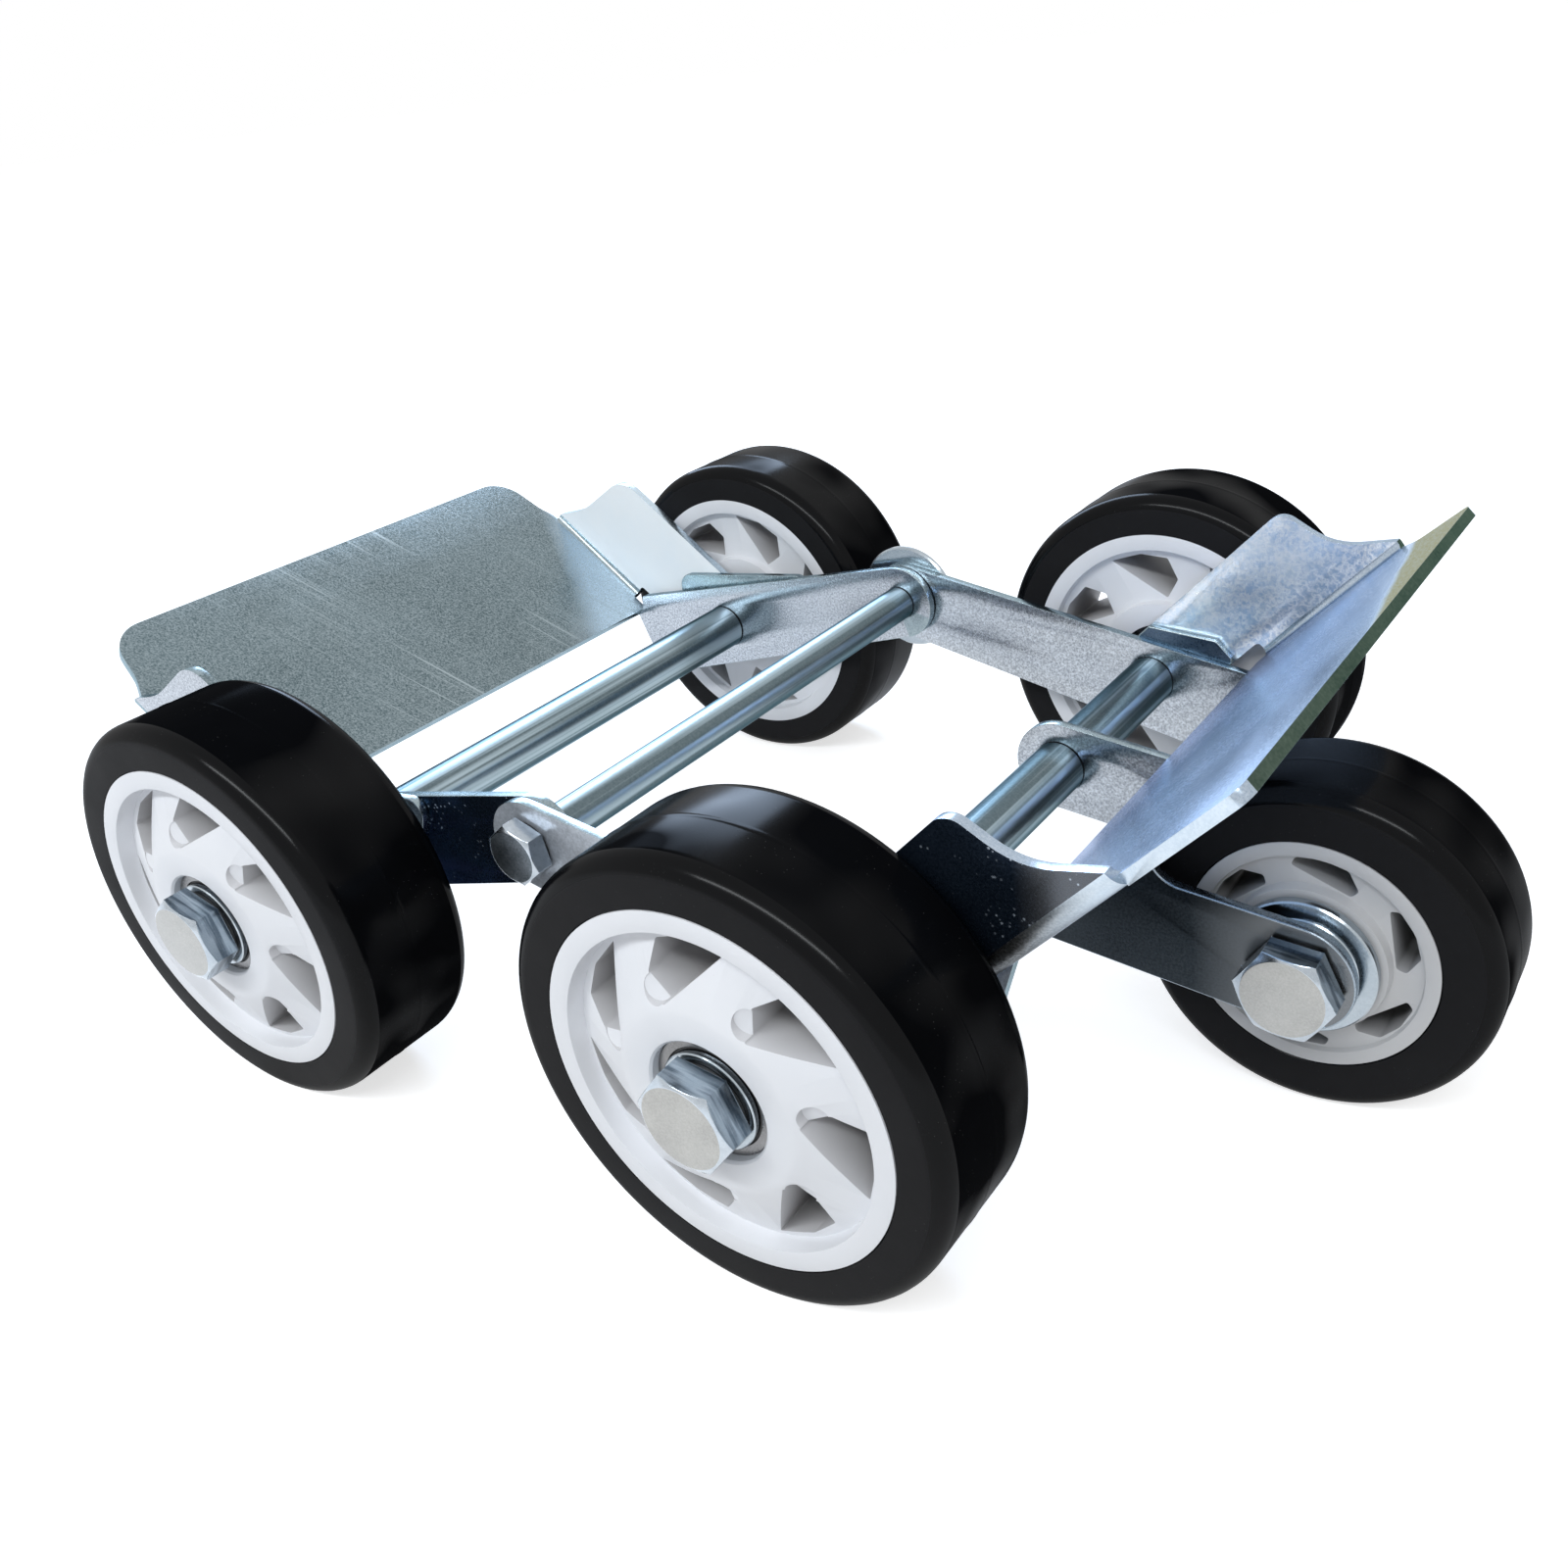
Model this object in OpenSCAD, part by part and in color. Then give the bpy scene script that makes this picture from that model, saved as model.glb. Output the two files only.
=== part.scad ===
// Wheel skate: two hinged sheet steel halves that cradle a vehicle's wheel, on five castor wheels.
// X runs from the left half to the right half, Y across the skate, Z up. Millimetres.
// The origin is on the ground under the middle of the outer box.

/* [Main wheels] */
// Diameter of each of the four main wheels
wheel_d = 160; // [125:1:200]
// Width of a main wheel over the tyre
wheel_w = 50; // [36:1:60]
// Thickness of the main tyre's rubber, from the plastic core outwards
rubber_t = 17; // [8:0.5:25]
// Radius of the tyre's shoulder
shoulder_r = 7; // [3:0.5:12]
// Width of the core's flat rim ring
rim_ring = 7; // [4:0.5:10]
// Depth of the web behind the rim ring on the outer side
web_recess = 6.5; // [2:0.5:10]
// Distance that the hub stands proud of the rim
hub_proud = 2.5; // [0:0.5:5]
// Diameter of the hub's flat ring
hub_d = 62; // [50:1:80]
// Number of windows in a main wheel's core
windows = 7; // [5:1:8]
// Inner face of a main wheel, from the middle plane
wheel_face = 137; // [130:0.5:160]

/* [Fifth wheel] */
// Diameter of the fifth wheel
fifth_d = 125; // [100:1:160]
// Width of the fifth wheel
fifth_w = 44; // [30:1:50]
// Thickness of the fifth tyre's rubber, from the plastic core outwards
fifth_rubber_t = 19.5; // [8:0.5:25]
// Outer diameter of the fifth wheel's hub
fifth_hub_d = 54; // [48:1:60]
// Number of windows in the fifth wheel's core
fifth_windows = 6; // [4:1:7]
// Front face of the fifth wheel, from the middle plane
fifth_face = -30.4; // [-60:0.1:0]
// Gap between the fifth wheel's tyre and the underside of the right plate
fifth_gap = 8.1; // [4:0.1:40]

/* [Bearings and axles] */
// Outer diameter of a ball bearing
bearing_d = 42; // [35:1:47]
// Width of a ball bearing
bearing_w = 12; // [10:1:14]
// Bore of a ball bearing
bearing_bore = 20; // [15:1:25]
// Diameter of the axle bolts' shanks
axle_d = 19.8; // [14:0.1:24]
// Width across flats of the axle bolts' heads
axle_flats = 30; // [24:1:36]
// Height of the axle bolts' heads
axle_head = 12.5; // [8:0.5:15]
// Height of the axle nuts
axle_nut_h = 10; // [8:0.5:18]
// Outer diameter of the axle washers
washer_d = 34; // [30:1:35]
// Thickness of the axle washers
washer_t = 2.5; // [1:0.5:4]
// Outer diameter of the spacer tubes on the axles
tube_d = 22; // [21.5:0.5:30]

/* [Pivot] */
// Height of the pivot above the main axles
pivot_rise = 25; // [5:1:40]
// Diameter of the pivot bolt's shank
pivot_d = 13.9; // [10:0.1:18]
// Width across flats of the pivot bolt's head
pivot_flats = 21; // [17:1:27]
// Height of the pivot bolt's head
pivot_head = 8.8; // [6:0.1:12]
// Height of the pivot nut
pivot_nut_h = 12.8; // [8:0.1:15]
// Outer diameter of the tube around the pivot bolt
pivot_tube_d = 16; // [15.5:0.5:24]
// Outer diameter of the large washer behind the pivot nut's link
pivot_washer_d = 50; // [30:1:60]
// Thickness of the large pivot washer
pivot_washer_t = 3; // [2:0.5:5]

/* [Sheet steel] */
// Thickness of plates, links and arms
sheet = 4; // [3:0.5:6]
// Inner bend radius between a plate and its wings
bend_r = 3; // [1:0.5:6]
// Radius of the wings' eyes around the axles
eye_r = 18.5; // [15:0.5:22]
// Radius of the links' eyes around the pivot
link_eye_r = 17.5; // [12:0.5:22]
// Inner face of the left links, from the middle plane
left_link_y = 119; // [100:0.5:125]
// Running gap between a left link and the right link outside it
link_gap = 0.5; // [0.2:0.1:2]
// Thickness of the packing plates between links and wings
pack_t = 3.5; // [2:0.5:6]

/* [Left half] */
// Distance from the pivot back to the left axle
left_reach = 113.6; // [95:0.2:140]
// Slope of the left plate
left_slope = 39.2; // [30:0.2:50]
// Depth of the left plate's top face below the axle, square to the plate
left_drop = 35.3; // [25:0.1:40]
// Distance up the slope from the axle to the left plate's inner edge
left_inner = 47.8; // [40:0.1:60]
// Distance up the slope from the axle to the start of the left wings' bends
left_bend = 57.3; // [50:0.1:70]
// Length of the left wings' bends
left_bend_len = 63; // [50:0.5:80]
// Distance up the slope from the axle to the left plate's outer edge
left_outer = 156.5; // [140:0.5:180]
// Half width of the left plate at its outer edge
left_tongue = 116.5; // [90:0.5:125]
// Radius of the left plate's outer corners
left_corner_r = 17; // [5:1:30]

/* [Right half] */
// Distance from the pivot to the right axle
right_reach = 127.9; // [110:0.1:150]
// Slope of the right plate
right_slope = 43.5; // [35:0.5:50]
// Depth of the right plate's top face below the axle, square to the plate
right_drop = 23.6; // [18:0.1:30]
// Distance up the slope from the axle to the right plate's inner edge
right_inner = 45.1; // [38:0.1:55]
// Distance up the slope from the axle to the start of the right wings' bends
right_bend = 49.1; // [45:0.1:60]
// Length of the right wings' bends
right_bend_len = 75; // [60:0.5:90]
// Distance up the slope from the axle to the right plate's outer edge
right_outer = 169; // [150:0.5:190]
// Half width of the right plate's outer edge at the front
right_tongue_front = 130; // [90:0.5:131]
// Half width of the right plate's outer edge at the back
right_tongue_back = 95; // [70:0.5:131]
// Radius of the front outer corner of the right plate
right_corner_front = 5; // [2:1:20]
// Radius of the back outer corner of the right plate
right_corner_back = 9; // [2:1:20]

/* [Fifth wheel arms] */
// Front face of the front arm, from the middle plane
arm_front_y = -44; // [-80:0.5:-40]
// Front face of the back arm, from the middle plane
arm_back_y = 34; // [20:0.5:60]
// Half width of the arms
arm_r = 20; // [16:0.5:24]
// Radius of the back arm's eye around the right axle
arm_eye_r = 19; // [15:0.5:24]
// Outer diameter of the flange on the fifth wheel's front spacer
flange_d = 50; // [36:1:54]
// Thickness of that flange
flange_t = 4; // [2:0.5:5]

/* [Hidden] */
$fn = 72;

// Diameters of the plastic cores, where the tyres start
core_d = wheel_d - 2 * rubber_t;
fifth_core_d = fifth_d - 2 * fifth_rubber_t;

// Bearings stand back from a main core's inner and outer faces by these
race_inset_in = 1.5;
race_inset_out = 0.5;

// Bolt ends stand out of their nuts by this
thread_end = 2.5;

// Heights and places of the axes
axle_z = wheel_d / 2;
fifth_z = fifth_d / 2;
pivot_z = axle_z + pivot_rise;
fifth_reach = (right_drop + sheet + fifth_gap + fifth_d / 2
    + (fifth_z - axle_z) * cos(right_slope)) / sin(right_slope);
reach_left_tip = left_reach + left_outer * cos(left_slope)
    + (left_drop + sheet) * sin(left_slope);
reach_right_tip = right_reach + fifth_reach + fifth_d / 2;
pivot_x = (reach_left_tip - reach_right_tip) / 2;
left_x = pivot_x - left_reach;
right_x = pivot_x + right_reach;
fifth_x = right_x + fifth_reach;

// Faces along Y, from the middle plane outwards
right_link_y = left_link_y + sheet + link_gap;
left_pack_y = left_link_y + sheet;
right_pack_y = right_link_y + sheet;
left_wing_y = left_pack_y + pack_t;
right_wing_y = right_pack_y + pack_t;
wheel_far = wheel_face + wheel_w;
race_in = wheel_face + race_inset_in;
race_out = wheel_far - race_inset_out;
outer_race_low = wheel_w - race_inset_out - bearing_w;
head_face = race_out + washer_t;
bolt_end = head_face + axle_head;

// Faces of the fifth wheel along Y
fifth_hub_proud = 2;
fifth_race_front = fifth_face - fifth_hub_proud;
fifth_race_back = fifth_face + fifth_w + fifth_hub_proud;
flange_gap = 1;
arm_back_far = arm_back_y + sheet;
fifth_bolt_end = arm_back_far + axle_nut_h + thread_end;

// Bearing details
ring_t = 3.3;
shield_gap = 0.1;
shield_t = 0.8;
shield_inset = 0.4;
race_inner_r = bearing_bore / 2 + ring_t;
race_outer_r = bearing_d / 2 - ring_t;
ball_path_r = (race_inner_r + shield_gap + race_outer_r) / 2;
ball_r = (race_outer_r - race_inner_r - shield_gap) / 2;
sleeve_r = 12.5;
sleeve_clear = 1;

// Holes are larger than the bolts by this all round, the pivot's running fit by less
bolt_clear = 0.1;
pivot_clear = 0.05;

// Hexagon heads and nuts: chamfer, and the end face as a part of the width across flats
hex_chamfer = 2;
face_ratio = 0.94;

// Angles at which the hexagons came to rest: head, then nut
left_turns = [12, 5];
right_turns = [20, 25];
fifth_turns = [24, 10];
pivot_turns = [8, 14];

// Wings' end edges: [along the bend, above the plate, radius], waist first and then shoulder
left_waist = [50.5, 18.5, 40];
right_waist = [53.5, 17.5, 30];
left_shoulder = [37.5, 15];
right_shoulder = [46.5, 8];

// Slot at the inner end of a bend: length, height above the plate, corner radius
relief_len = 7;
relief_h = 6;
relief_r = 2;

// Where the plates' side edges turn in beyond the bends: [up the slope, further out, radius]
left_dent = [11, 5, 20];
right_dent_front = [15, 0.5, 15];
right_dent_back = [15, 17, 20];

// Links' corners from their axle: upper edge, then the two lower corners
left_link_top = [-56.5, 11];
left_link_low = [[-57, -15], [-48, -33]];
right_link_top = [46.5, 8.6];
right_link_low = [[58, -5], [24, -30.5]];
link_weld = 25;
link_corner_r = 6;

// A left link's end rises this far beside the left plate, square to it, before it leans over
link_rise = 3;

// Packing plates' outlines from their axle: the left one as [x, z, radius], the right one as
// [up the slope, square to it, radius]
left_pack = [[-30, 24.8, 8], [58, 32, 6], [50, 12, 8], [-14, -16, 10], [-30, -14, 8]];
right_pack = [[-14, 18.5, 8], [15.5, 18.5, 1], [36, -5.6, 3], [36, -17.6, 3], [-6.6, -18.6, 10],
    [-19.8, -0.5, 8]];

// Arms' bends from the right axle, and the length of their welds under the plate
arm_knee = 78;
arm_knee_r = 12;
arm_heel = 26;
arm_heel_r = 5;
arm_weld = 24;

// Cores: chamfer, hollows beside the rim rings, and the fifth wheel's rim ring
core_chamfer = 0.8;
inner_recess = 4;
fifth_rim_ring = 5;
fifth_recess = 2;

// Corners of a window: [share of the way out from hub to rim ring, angle]
core_window = [[0.08, 0], [0.46, 6], [0.82, -1], [0.89, -15], [0.91, -31]];
fifth_window = [[0.12, -19], [0.41, -21], [0.86, -11], [0.92, 3], [0.88, 17], [0.64, 20]];

// Angles at which the five wheels came to rest
wheel_turns = [-11.5, -6.7, 3.5, 16.8, 22];

// Steps of drawn arcs in degrees, extra length of cuts, and a length too small to see
arc_step = 7.5;
cut = 1;
eps = 0.01;

// Colours
zinc = [0.66, 0.70, 0.73];
bright = [0.80, 0.82, 0.84];
rubber = [0.06, 0.06, 0.07];
plastic = [0.90, 0.90, 0.90];
steel = [0.55, 0.56, 0.58];

// Unit vector along v
function unit(v) = v / norm(v);

// Corner b between a and c, rounded with radius r
function corner(a, b, c, r) = r < eps ? [b] :
    let (
        u = unit(a - b),
        v = unit(c - b),
        half = acos(u * v) / 2,
        mid = b + unit(u + v) * r / sin(half),
        from = b + u * r / tan(half) - mid,
        to = b + v * r / tan(half) - mid,
        start = atan2(from[1], from[0]),
        turn = (atan2(to[1], to[0]) - start + 540) % 360 - 180,
        n = max(2, ceil(abs(turn) / arc_step))
    )
    [for (k = [0:n]) mid + r * [cos(start + turn * k / n), sin(start + turn * k / n)]];

// Closed outline through points [x, y, radius]
function rounded(p) = [
    for (i = [0:len(p) - 1])
        let (
            a = p[(i + len(p) - 1) % len(p)],
            b = p[i],
            c = p[(i + 1) % len(p)]
        )
        each corner([a[0], a[1]], [b[0], b[1]], [c[0], c[1]], b[2])
];

// Point where a line from p touches a circle of radius r round the origin
function touch(p, r, side) =
    let (a = atan2(p[1], p[0]) + side * acos(r / norm(p)))
    r * [cos(a), sin(a)];

// Flat sheet in the XZ plane: a 2D outline given as [x, z], from y to y + t
module upright(y, t) {
    translate([0, y + t, 0])
        rotate([90, 0, 0])
            linear_extrude(height = t)
                children();
}

// Round bar along Y at x, z, from y0 to y1
module rod(x, z, r, y0, y1) {
    translate([x, y0, z])
        rotate([-90, 0, 0])
            cylinder(r = r, h = y1 - y0);
}

// Ring along Y at x, z
module ring(x, z, r_out, r_in, y0, y1) {
    difference() {
        rod(x, z, r_out, y0, y1);
        rod(x, z, r_in, y0 - cut, y1 + cut);
    }
}

// Hexagon with its outer corners rounded off, standing on the XY plane
module hex(flats, h) {
    r = flats / 2 / cos(30);
    intersection() {
        cylinder(r = r, h = h, $fn = 6);
        rotate_extrude()
            polygon([
                [0, 0],
                [r, 0],
                [r, h - hex_chamfer],
                [flats / 2 * face_ratio, h],
                [0, h]
            ]);
    }
}

// Bolt along Y: its head's outer face looks along -Y, its head bears on y0, its shank ends at y1
module bolt(x, z, y0, y1, d, flats, head, turn) {
    translate([x, y0, z])
        rotate([90, turn, 0])
            hex(flats, head);
    rod(x, z, d / 2, y0 - eps, y1);
}

// Nut along Y that bears on y0 and looks along +Y
module nut(x, z, y0, d, flats, h, turn) {
    difference() {
        translate([x, y0, z])
            rotate([-90, turn, 0])
                hex(flats, h);
        rod(x, z, d / 2, y0 - cut, y0 + h + cut);
    }
}

// A half's own frame: origin on its axle, X up the slope (side 1 right, -1 left), Z square to it
module on_slope(side) {
    x = side > 0 ? right_x : left_x;
    slope = side > 0 ? right_slope : left_slope;
    translate([x, 0, axle_z])
        rotate([0, -side * slope, 0])
            children();
}

// One side wing with its bend and its eye on the axle, on the side of Y given by dir
module wing(side, dir) {
    drop = side > 0 ? right_drop : left_drop;
    start = side > 0 ? right_bend : left_bend;
    len = side > 0 ? right_bend_len : left_bend_len;
    face = side > 0 ? right_wing_y : left_wing_y;
    waist = side > 0 ? right_waist : left_waist;
    shoulder = side > 0 ? right_shoulder : left_shoulder;
    low = bend_r - drop;
    relief = [start - relief_len, relief_h - drop];
    base = touch(relief, eye_r, -1);
    y = dir > 0 ? face : -face - sheet;
    profile = concat(
        [
            [start + len, low, 0],
            [start + waist[0], waist[1] - drop, waist[2]],
            [start + shoulder[0], eye_r, shoulder[1]],
            [0, eye_r, 0]
        ],
        [
            [0, 0, 0],
            [base[0], base[1], 0],
            [relief[0], relief[1], relief_r],
            [start, relief[1], relief_r],
            [start, low, 0]
        ]
    );
    on_slope(side)
        difference() {
            union() {
                upright(y, sheet)
                    polygon([for (p = rounded(profile)) [side * p[0], p[1]]]);
                rod(0, 0, eye_r, y, y + sheet);
            }
            rod(0, 0, axle_d / 2 + bolt_clear, y - cut, y + sheet + cut);
        }
    on_slope(side)
        translate([side > 0 ? start : -start - len, dir * (face - bend_r), low])
            rotate([0, 90, 0])
                intersection() {
                    difference() {
                        cylinder(r = bend_r + sheet, h = len);
                        translate([0, 0, -cut])
                            cylinder(r = bend_r, h = len + 2 * cut);
                    }
                    translate([0, dir > 0 ? 0 : -bend_r - sheet, 0])
                        cube([bend_r + sheet, bend_r + sheet, len]);
                }
}

// Plate with two wings, cut and bent from one sheet. front and back describe the outer corners:
// [half width, corner radius, dent], each dent as [up the slope, further out, radius].
module plate(side, inner, outer, start, len, drop, edge, front, back) {
    flat = (side > 0 ? right_wing_y : left_wing_y) - bend_r;
    full = flat + bend_r;
    outline = [
        [inner, -edge, 1],
        [start, -edge, 0],
        [start, -flat, 0],
        [start + len, -flat, 0],
        [start + len, -full, 0],
        [start + len + front[2][0], -front[0] - front[2][1], front[2][2]],
        [outer, -front[0], front[1]],
        [outer, back[0], back[1]],
        [start + len + back[2][0], back[0] + back[2][1], back[2][2]],
        [start + len, full, 0],
        [start + len, flat, 0],
        [start, flat, 0],
        [start, edge, 0],
        [inner, edge, 1]
    ];
    on_slope(side)
        translate([0, 0, -drop - sheet])
            linear_extrude(height = sheet)
                polygon([for (p = rounded(outline)) [side * p[0], p[1]]]);
    wing(side, 1);
    wing(side, -1);
}

module left_plate() {
    color(zinc)
        plate(-1, left_inner, left_outer, left_bend, left_bend_len, left_drop, left_pack_y,
              [left_tongue, left_corner_r, left_dent],
              [left_tongue, left_corner_r, left_dent]);
}

module right_plate() {
    color(zinc)
        plate(1, right_inner, right_outer, right_bend, right_bend_len, right_drop, right_pack_y,
              [right_tongue_front, right_corner_front, right_dent_front],
              [right_tongue_back, right_corner_back, right_dent_back]);
}

// Place in X and Z, from the axle, of a point given up the slope and square to it
function slope_point(side, s, h) =
    let (a = side > 0 ? right_slope : left_slope)
    [side * (s * cos(a) - h * sin(a)), s * sin(a) + h * cos(a)];

// Flat link from a half's plate, round its axle, to an eye at the pivot
module link(side, y) {
    x = side > 0 ? right_x : left_x;
    pivot = [pivot_x - x, pivot_rise];
    drop = side > 0 ? right_drop : left_drop;
    inner = side > 0 ? right_inner : left_inner;
    top = side > 0 ? right_link_top : left_link_top;
    low = side > 0 ? right_link_low : left_link_low;
    weld_a = slope_point(side, inner, side > 0 ? -drop - sheet : -drop);
    weld_b = slope_point(side, side > 0 ? inner + link_weld : inner, -drop - sheet);
    rise = side > 0 ? [] : [concat(slope_point(side, inner, link_rise - drop), 0)];
    hit_top = pivot + touch(top - pivot, link_eye_r, side);
    hit_low = pivot + touch(low[1] - pivot, link_eye_r, -side);
    bore = pivot_d / 2 + (side > 0 ? pivot_clear : bolt_clear);
    profile = concat(
        [
            [hit_top[0], hit_top[1], 0],
            [top[0], top[1], 1]
        ],
        rise,
        [
            [weld_a[0], weld_a[1], 0],
            [weld_b[0], weld_b[1], 0],
            [low[0][0], low[0][1], link_corner_r],
            [low[1][0], low[1][1], link_corner_r],
            [hit_low[0], hit_low[1], 0],
            [pivot[0], pivot[1], 0]
        ]
    );
    translate([x, 0, axle_z])
        difference() {
            union() {
                upright(y, sheet)
                    polygon(rounded(profile));
                rod(pivot[0], pivot[1], link_eye_r, y, y + sheet);
            }
            rod(0, 0, axle_d / 2 + bolt_clear, y - cut, y + sheet + cut);
            rod(pivot[0], pivot[1], bore, y - cut, y + sheet + cut);
        }
}

module left_link_front() {
    color(zinc) link(-1, -left_link_y - sheet);
}

module left_link_back() {
    color(zinc) link(-1, left_link_y);
}

module right_link_front() {
    color(zinc) link(1, -right_link_y - sheet);
}

module right_link_back() {
    color(zinc) link(1, right_link_y);
}

// Packing plates between links and wings, around the axle. Their outlines are [x, z, radius]
// from the axle.
module packing(x, y, outline) {
    translate([x, 0, axle_z])
        for (at = [y, -y - pack_t])
            difference() {
                upright(at, pack_t)
                    polygon(rounded(outline));
                rod(0, 0, axle_d / 2 + bolt_clear, at - cut, at + pack_t + cut);
            }
}

module left_packing() {
    color(zinc)
        packing(left_x, left_pack_y, left_pack);
}

module right_packing() {
    color(zinc)
        packing(right_x, right_pack_y, [
            for (p = right_pack) concat(slope_point(1, p[0], p[1]), p[2])
        ]);
}

module left_axle_tube() {
    color(bright)
        ring(left_x, axle_z, tube_d / 2, axle_d / 2 + bolt_clear, -left_link_y, left_link_y);
}

module right_axle_tubes() {
    color(bright) {
        ring(right_x, axle_z, tube_d / 2, axle_d / 2 + bolt_clear, -right_link_y, arm_back_y);
        ring(right_x, axle_z, tube_d / 2, axle_d / 2 + bolt_clear, arm_back_far, right_link_y);
    }
}

module pivot_tube() {
    color(bright)
        ring(pivot_x, pivot_z, pivot_tube_d / 2, pivot_d / 2 + pivot_clear,
             -left_link_y, left_link_y);
}

module left_axle_bolt() {
    color(bright)
        bolt(left_x, axle_z, -head_face, bolt_end, axle_d, axle_flats, axle_head,
             left_turns[0]);
}

module right_axle_bolt() {
    color(bright)
        bolt(right_x, axle_z, -head_face, bolt_end, axle_d, axle_flats, axle_head,
             right_turns[0]);
}

module left_axle_nut() {
    color(bright) nut(left_x, axle_z, head_face, axle_d, axle_flats, axle_nut_h, left_turns[1]);
}

module right_axle_nut() {
    color(bright) nut(right_x, axle_z, head_face, axle_d, axle_flats, axle_nut_h, right_turns[1]);
}

// Washers under an axle bolt's head and nut
module washers(x) {
    for (y = [-head_face, race_out])
        ring(x, axle_z, washer_d / 2, axle_d / 2 + bolt_clear, y, y + washer_t);
}

module left_washers() {
    color(bright) washers(left_x);
}

module right_washers() {
    color(bright) washers(right_x);
}

// Spacers from the wings to the inner races, and the sleeves between the races
module spacers(x, from) {
    for (dir = [-1, 1]) {
        a = dir > 0 ? from : -race_in;
        b = dir > 0 ? race_in : -from;
        ring(x, axle_z, race_inner_r, axle_d / 2 + bolt_clear, a, b);
        c = dir > 0 ? race_in + bearing_w : -race_out + bearing_w;
        d = dir > 0 ? race_out - bearing_w : -race_in - bearing_w;
        ring(x, axle_z, sleeve_r, axle_d / 2 + bolt_clear, c, d);
    }
}

module left_spacers() {
    color(steel) spacers(left_x, left_wing_y + sheet);
}

module right_spacers() {
    color(steel) spacers(right_x, right_wing_y + sheet);
}

// Inner race of one bearing
module inner_ring(x, z, y) {
    ring(x, z, race_inner_r, bearing_bore / 2, y, y + bearing_w);
}

module inner_rings(x) {
    for (y = [-race_out, -race_in - bearing_w, race_in, race_out - bearing_w])
        inner_ring(x, axle_z, y);
}

module left_inner_rings() {
    color(steel) inner_rings(left_x);
}

module right_inner_rings() {
    color(steel) inner_rings(right_x);
}

module pivot_bolt() {
    end = right_link_y + sheet + pivot_washer_t + pivot_nut_h + thread_end;
    color(bright)
        bolt(pivot_x, pivot_z, -right_link_y - sheet, end, pivot_d, pivot_flats, pivot_head,
             pivot_turns[0]);
}

module pivot_washer() {
    y = right_link_y + sheet;
    color(bright)
        ring(pivot_x, pivot_z, pivot_washer_d / 2, pivot_d / 2 + pivot_clear, y, y + pivot_washer_t);
}

module pivot_nut() {
    y = right_link_y + sheet + pivot_washer_t;
    color(bright) nut(pivot_x, pivot_z, y, pivot_d, pivot_flats, pivot_nut_h, pivot_turns[1]);
}

// Fifth axle from the right axle, the arms' tilt, and a step from their middle line to their top
arm_end = [fifth_reach, fifth_z - axle_z];
arm_tilt = atan2(arm_end[1], arm_end[0]);
arm_up = arm_r * [-sin(arm_tilt), cos(arm_tilt)];

// Upper edge of both arms, from the fifth axle back along their weld under the right plate
arm_top = [
    [arm_end[0] + arm_up[0], arm_end[1] + arm_up[1], 0],
    [arm_knee, arm_up[1] + arm_knee * tan(arm_tilt), arm_knee_r],
    concat(slope_point(1, right_inner + arm_weld, -right_drop - sheet), 0),
    concat(slope_point(1, right_inner, -right_drop - sheet), 0)
];

// Flat arm from y, with a bore and a round end on the fifth axle. The rest of its outline is given.
module arm(y, outline) {
    difference() {
        union() {
            upright(y, sheet)
                polygon(rounded(concat(arm_top, outline)));
            rod(arm_end[0], arm_end[1], arm_r, y, y + sheet);
        }
        rod(arm_end[0], arm_end[1], axle_d / 2 + bolt_clear, y - cut, y + sheet + cut);
    }
}

// Arm in front of the fifth wheel, which ends short of the right axle
module arm_front() {
    color(zinc)
        translate([right_x, 0, axle_z])
            arm(arm_front_y, [
                [arm_heel, arm_heel * tan(arm_tilt) - arm_up[1], arm_heel_r],
                [arm_end[0] - arm_up[0], arm_end[1] - arm_up[1], 0]
            ]);
}

// Arm behind the fifth wheel, with an eye on the right axle
module arm_back() {
    weld = slope_point(1, right_inner, -right_drop - sheet);
    top = touch(weld, arm_eye_r, 1);
    below = arm_tilt - 90 - asin((arm_r - arm_eye_r) / norm(arm_end));
    dir = [cos(below), sin(below)];
    color(zinc)
        translate([right_x, 0, axle_z])
            difference() {
                union() {
                    arm(arm_back_y, [
                        concat(top, 0),
                        [0, 0, 0],
                        concat(arm_eye_r * dir, 0),
                        concat(arm_end + arm_r * dir, 0)
                    ]);
                    rod(0, 0, arm_eye_r, arm_back_y, arm_back_far);
                }
                rod(0, 0, axle_d / 2 + bolt_clear, arm_back_y - cut, arm_back_far + cut);
                rod(arm_end[0], arm_end[1], axle_d / 2 + bolt_clear,
                    arm_back_y - cut, arm_back_far + cut);
            }
}

module fifth_bolt() {
    color(bright)
        bolt(fifth_x, fifth_z, arm_front_y, fifth_bolt_end, axle_d, axle_flats, axle_head,
             fifth_turns[0]);
}

module fifth_nut() {
    color(bright)
        nut(fifth_x, fifth_z, arm_back_far, axle_d, axle_flats, axle_nut_h, fifth_turns[1]);
}

module fifth_flange_spacer() {
    flange_y = fifth_race_front - flange_gap - flange_t;
    color(bright)
        difference() {
            union() {
                rod(fifth_x, fifth_z, race_inner_r, arm_front_y + sheet, fifth_race_front);
                rod(fifth_x, fifth_z, flange_d / 2, flange_y, flange_y + flange_t);
            }
            rod(fifth_x, fifth_z, axle_d / 2 + bolt_clear, arm_front_y, fifth_race_front + cut);
        }
}

module fifth_back_spacer() {
    color(steel)
        ring(fifth_x, fifth_z, race_inner_r, axle_d / 2 + bolt_clear, fifth_race_back, arm_back_y);
}

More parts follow.
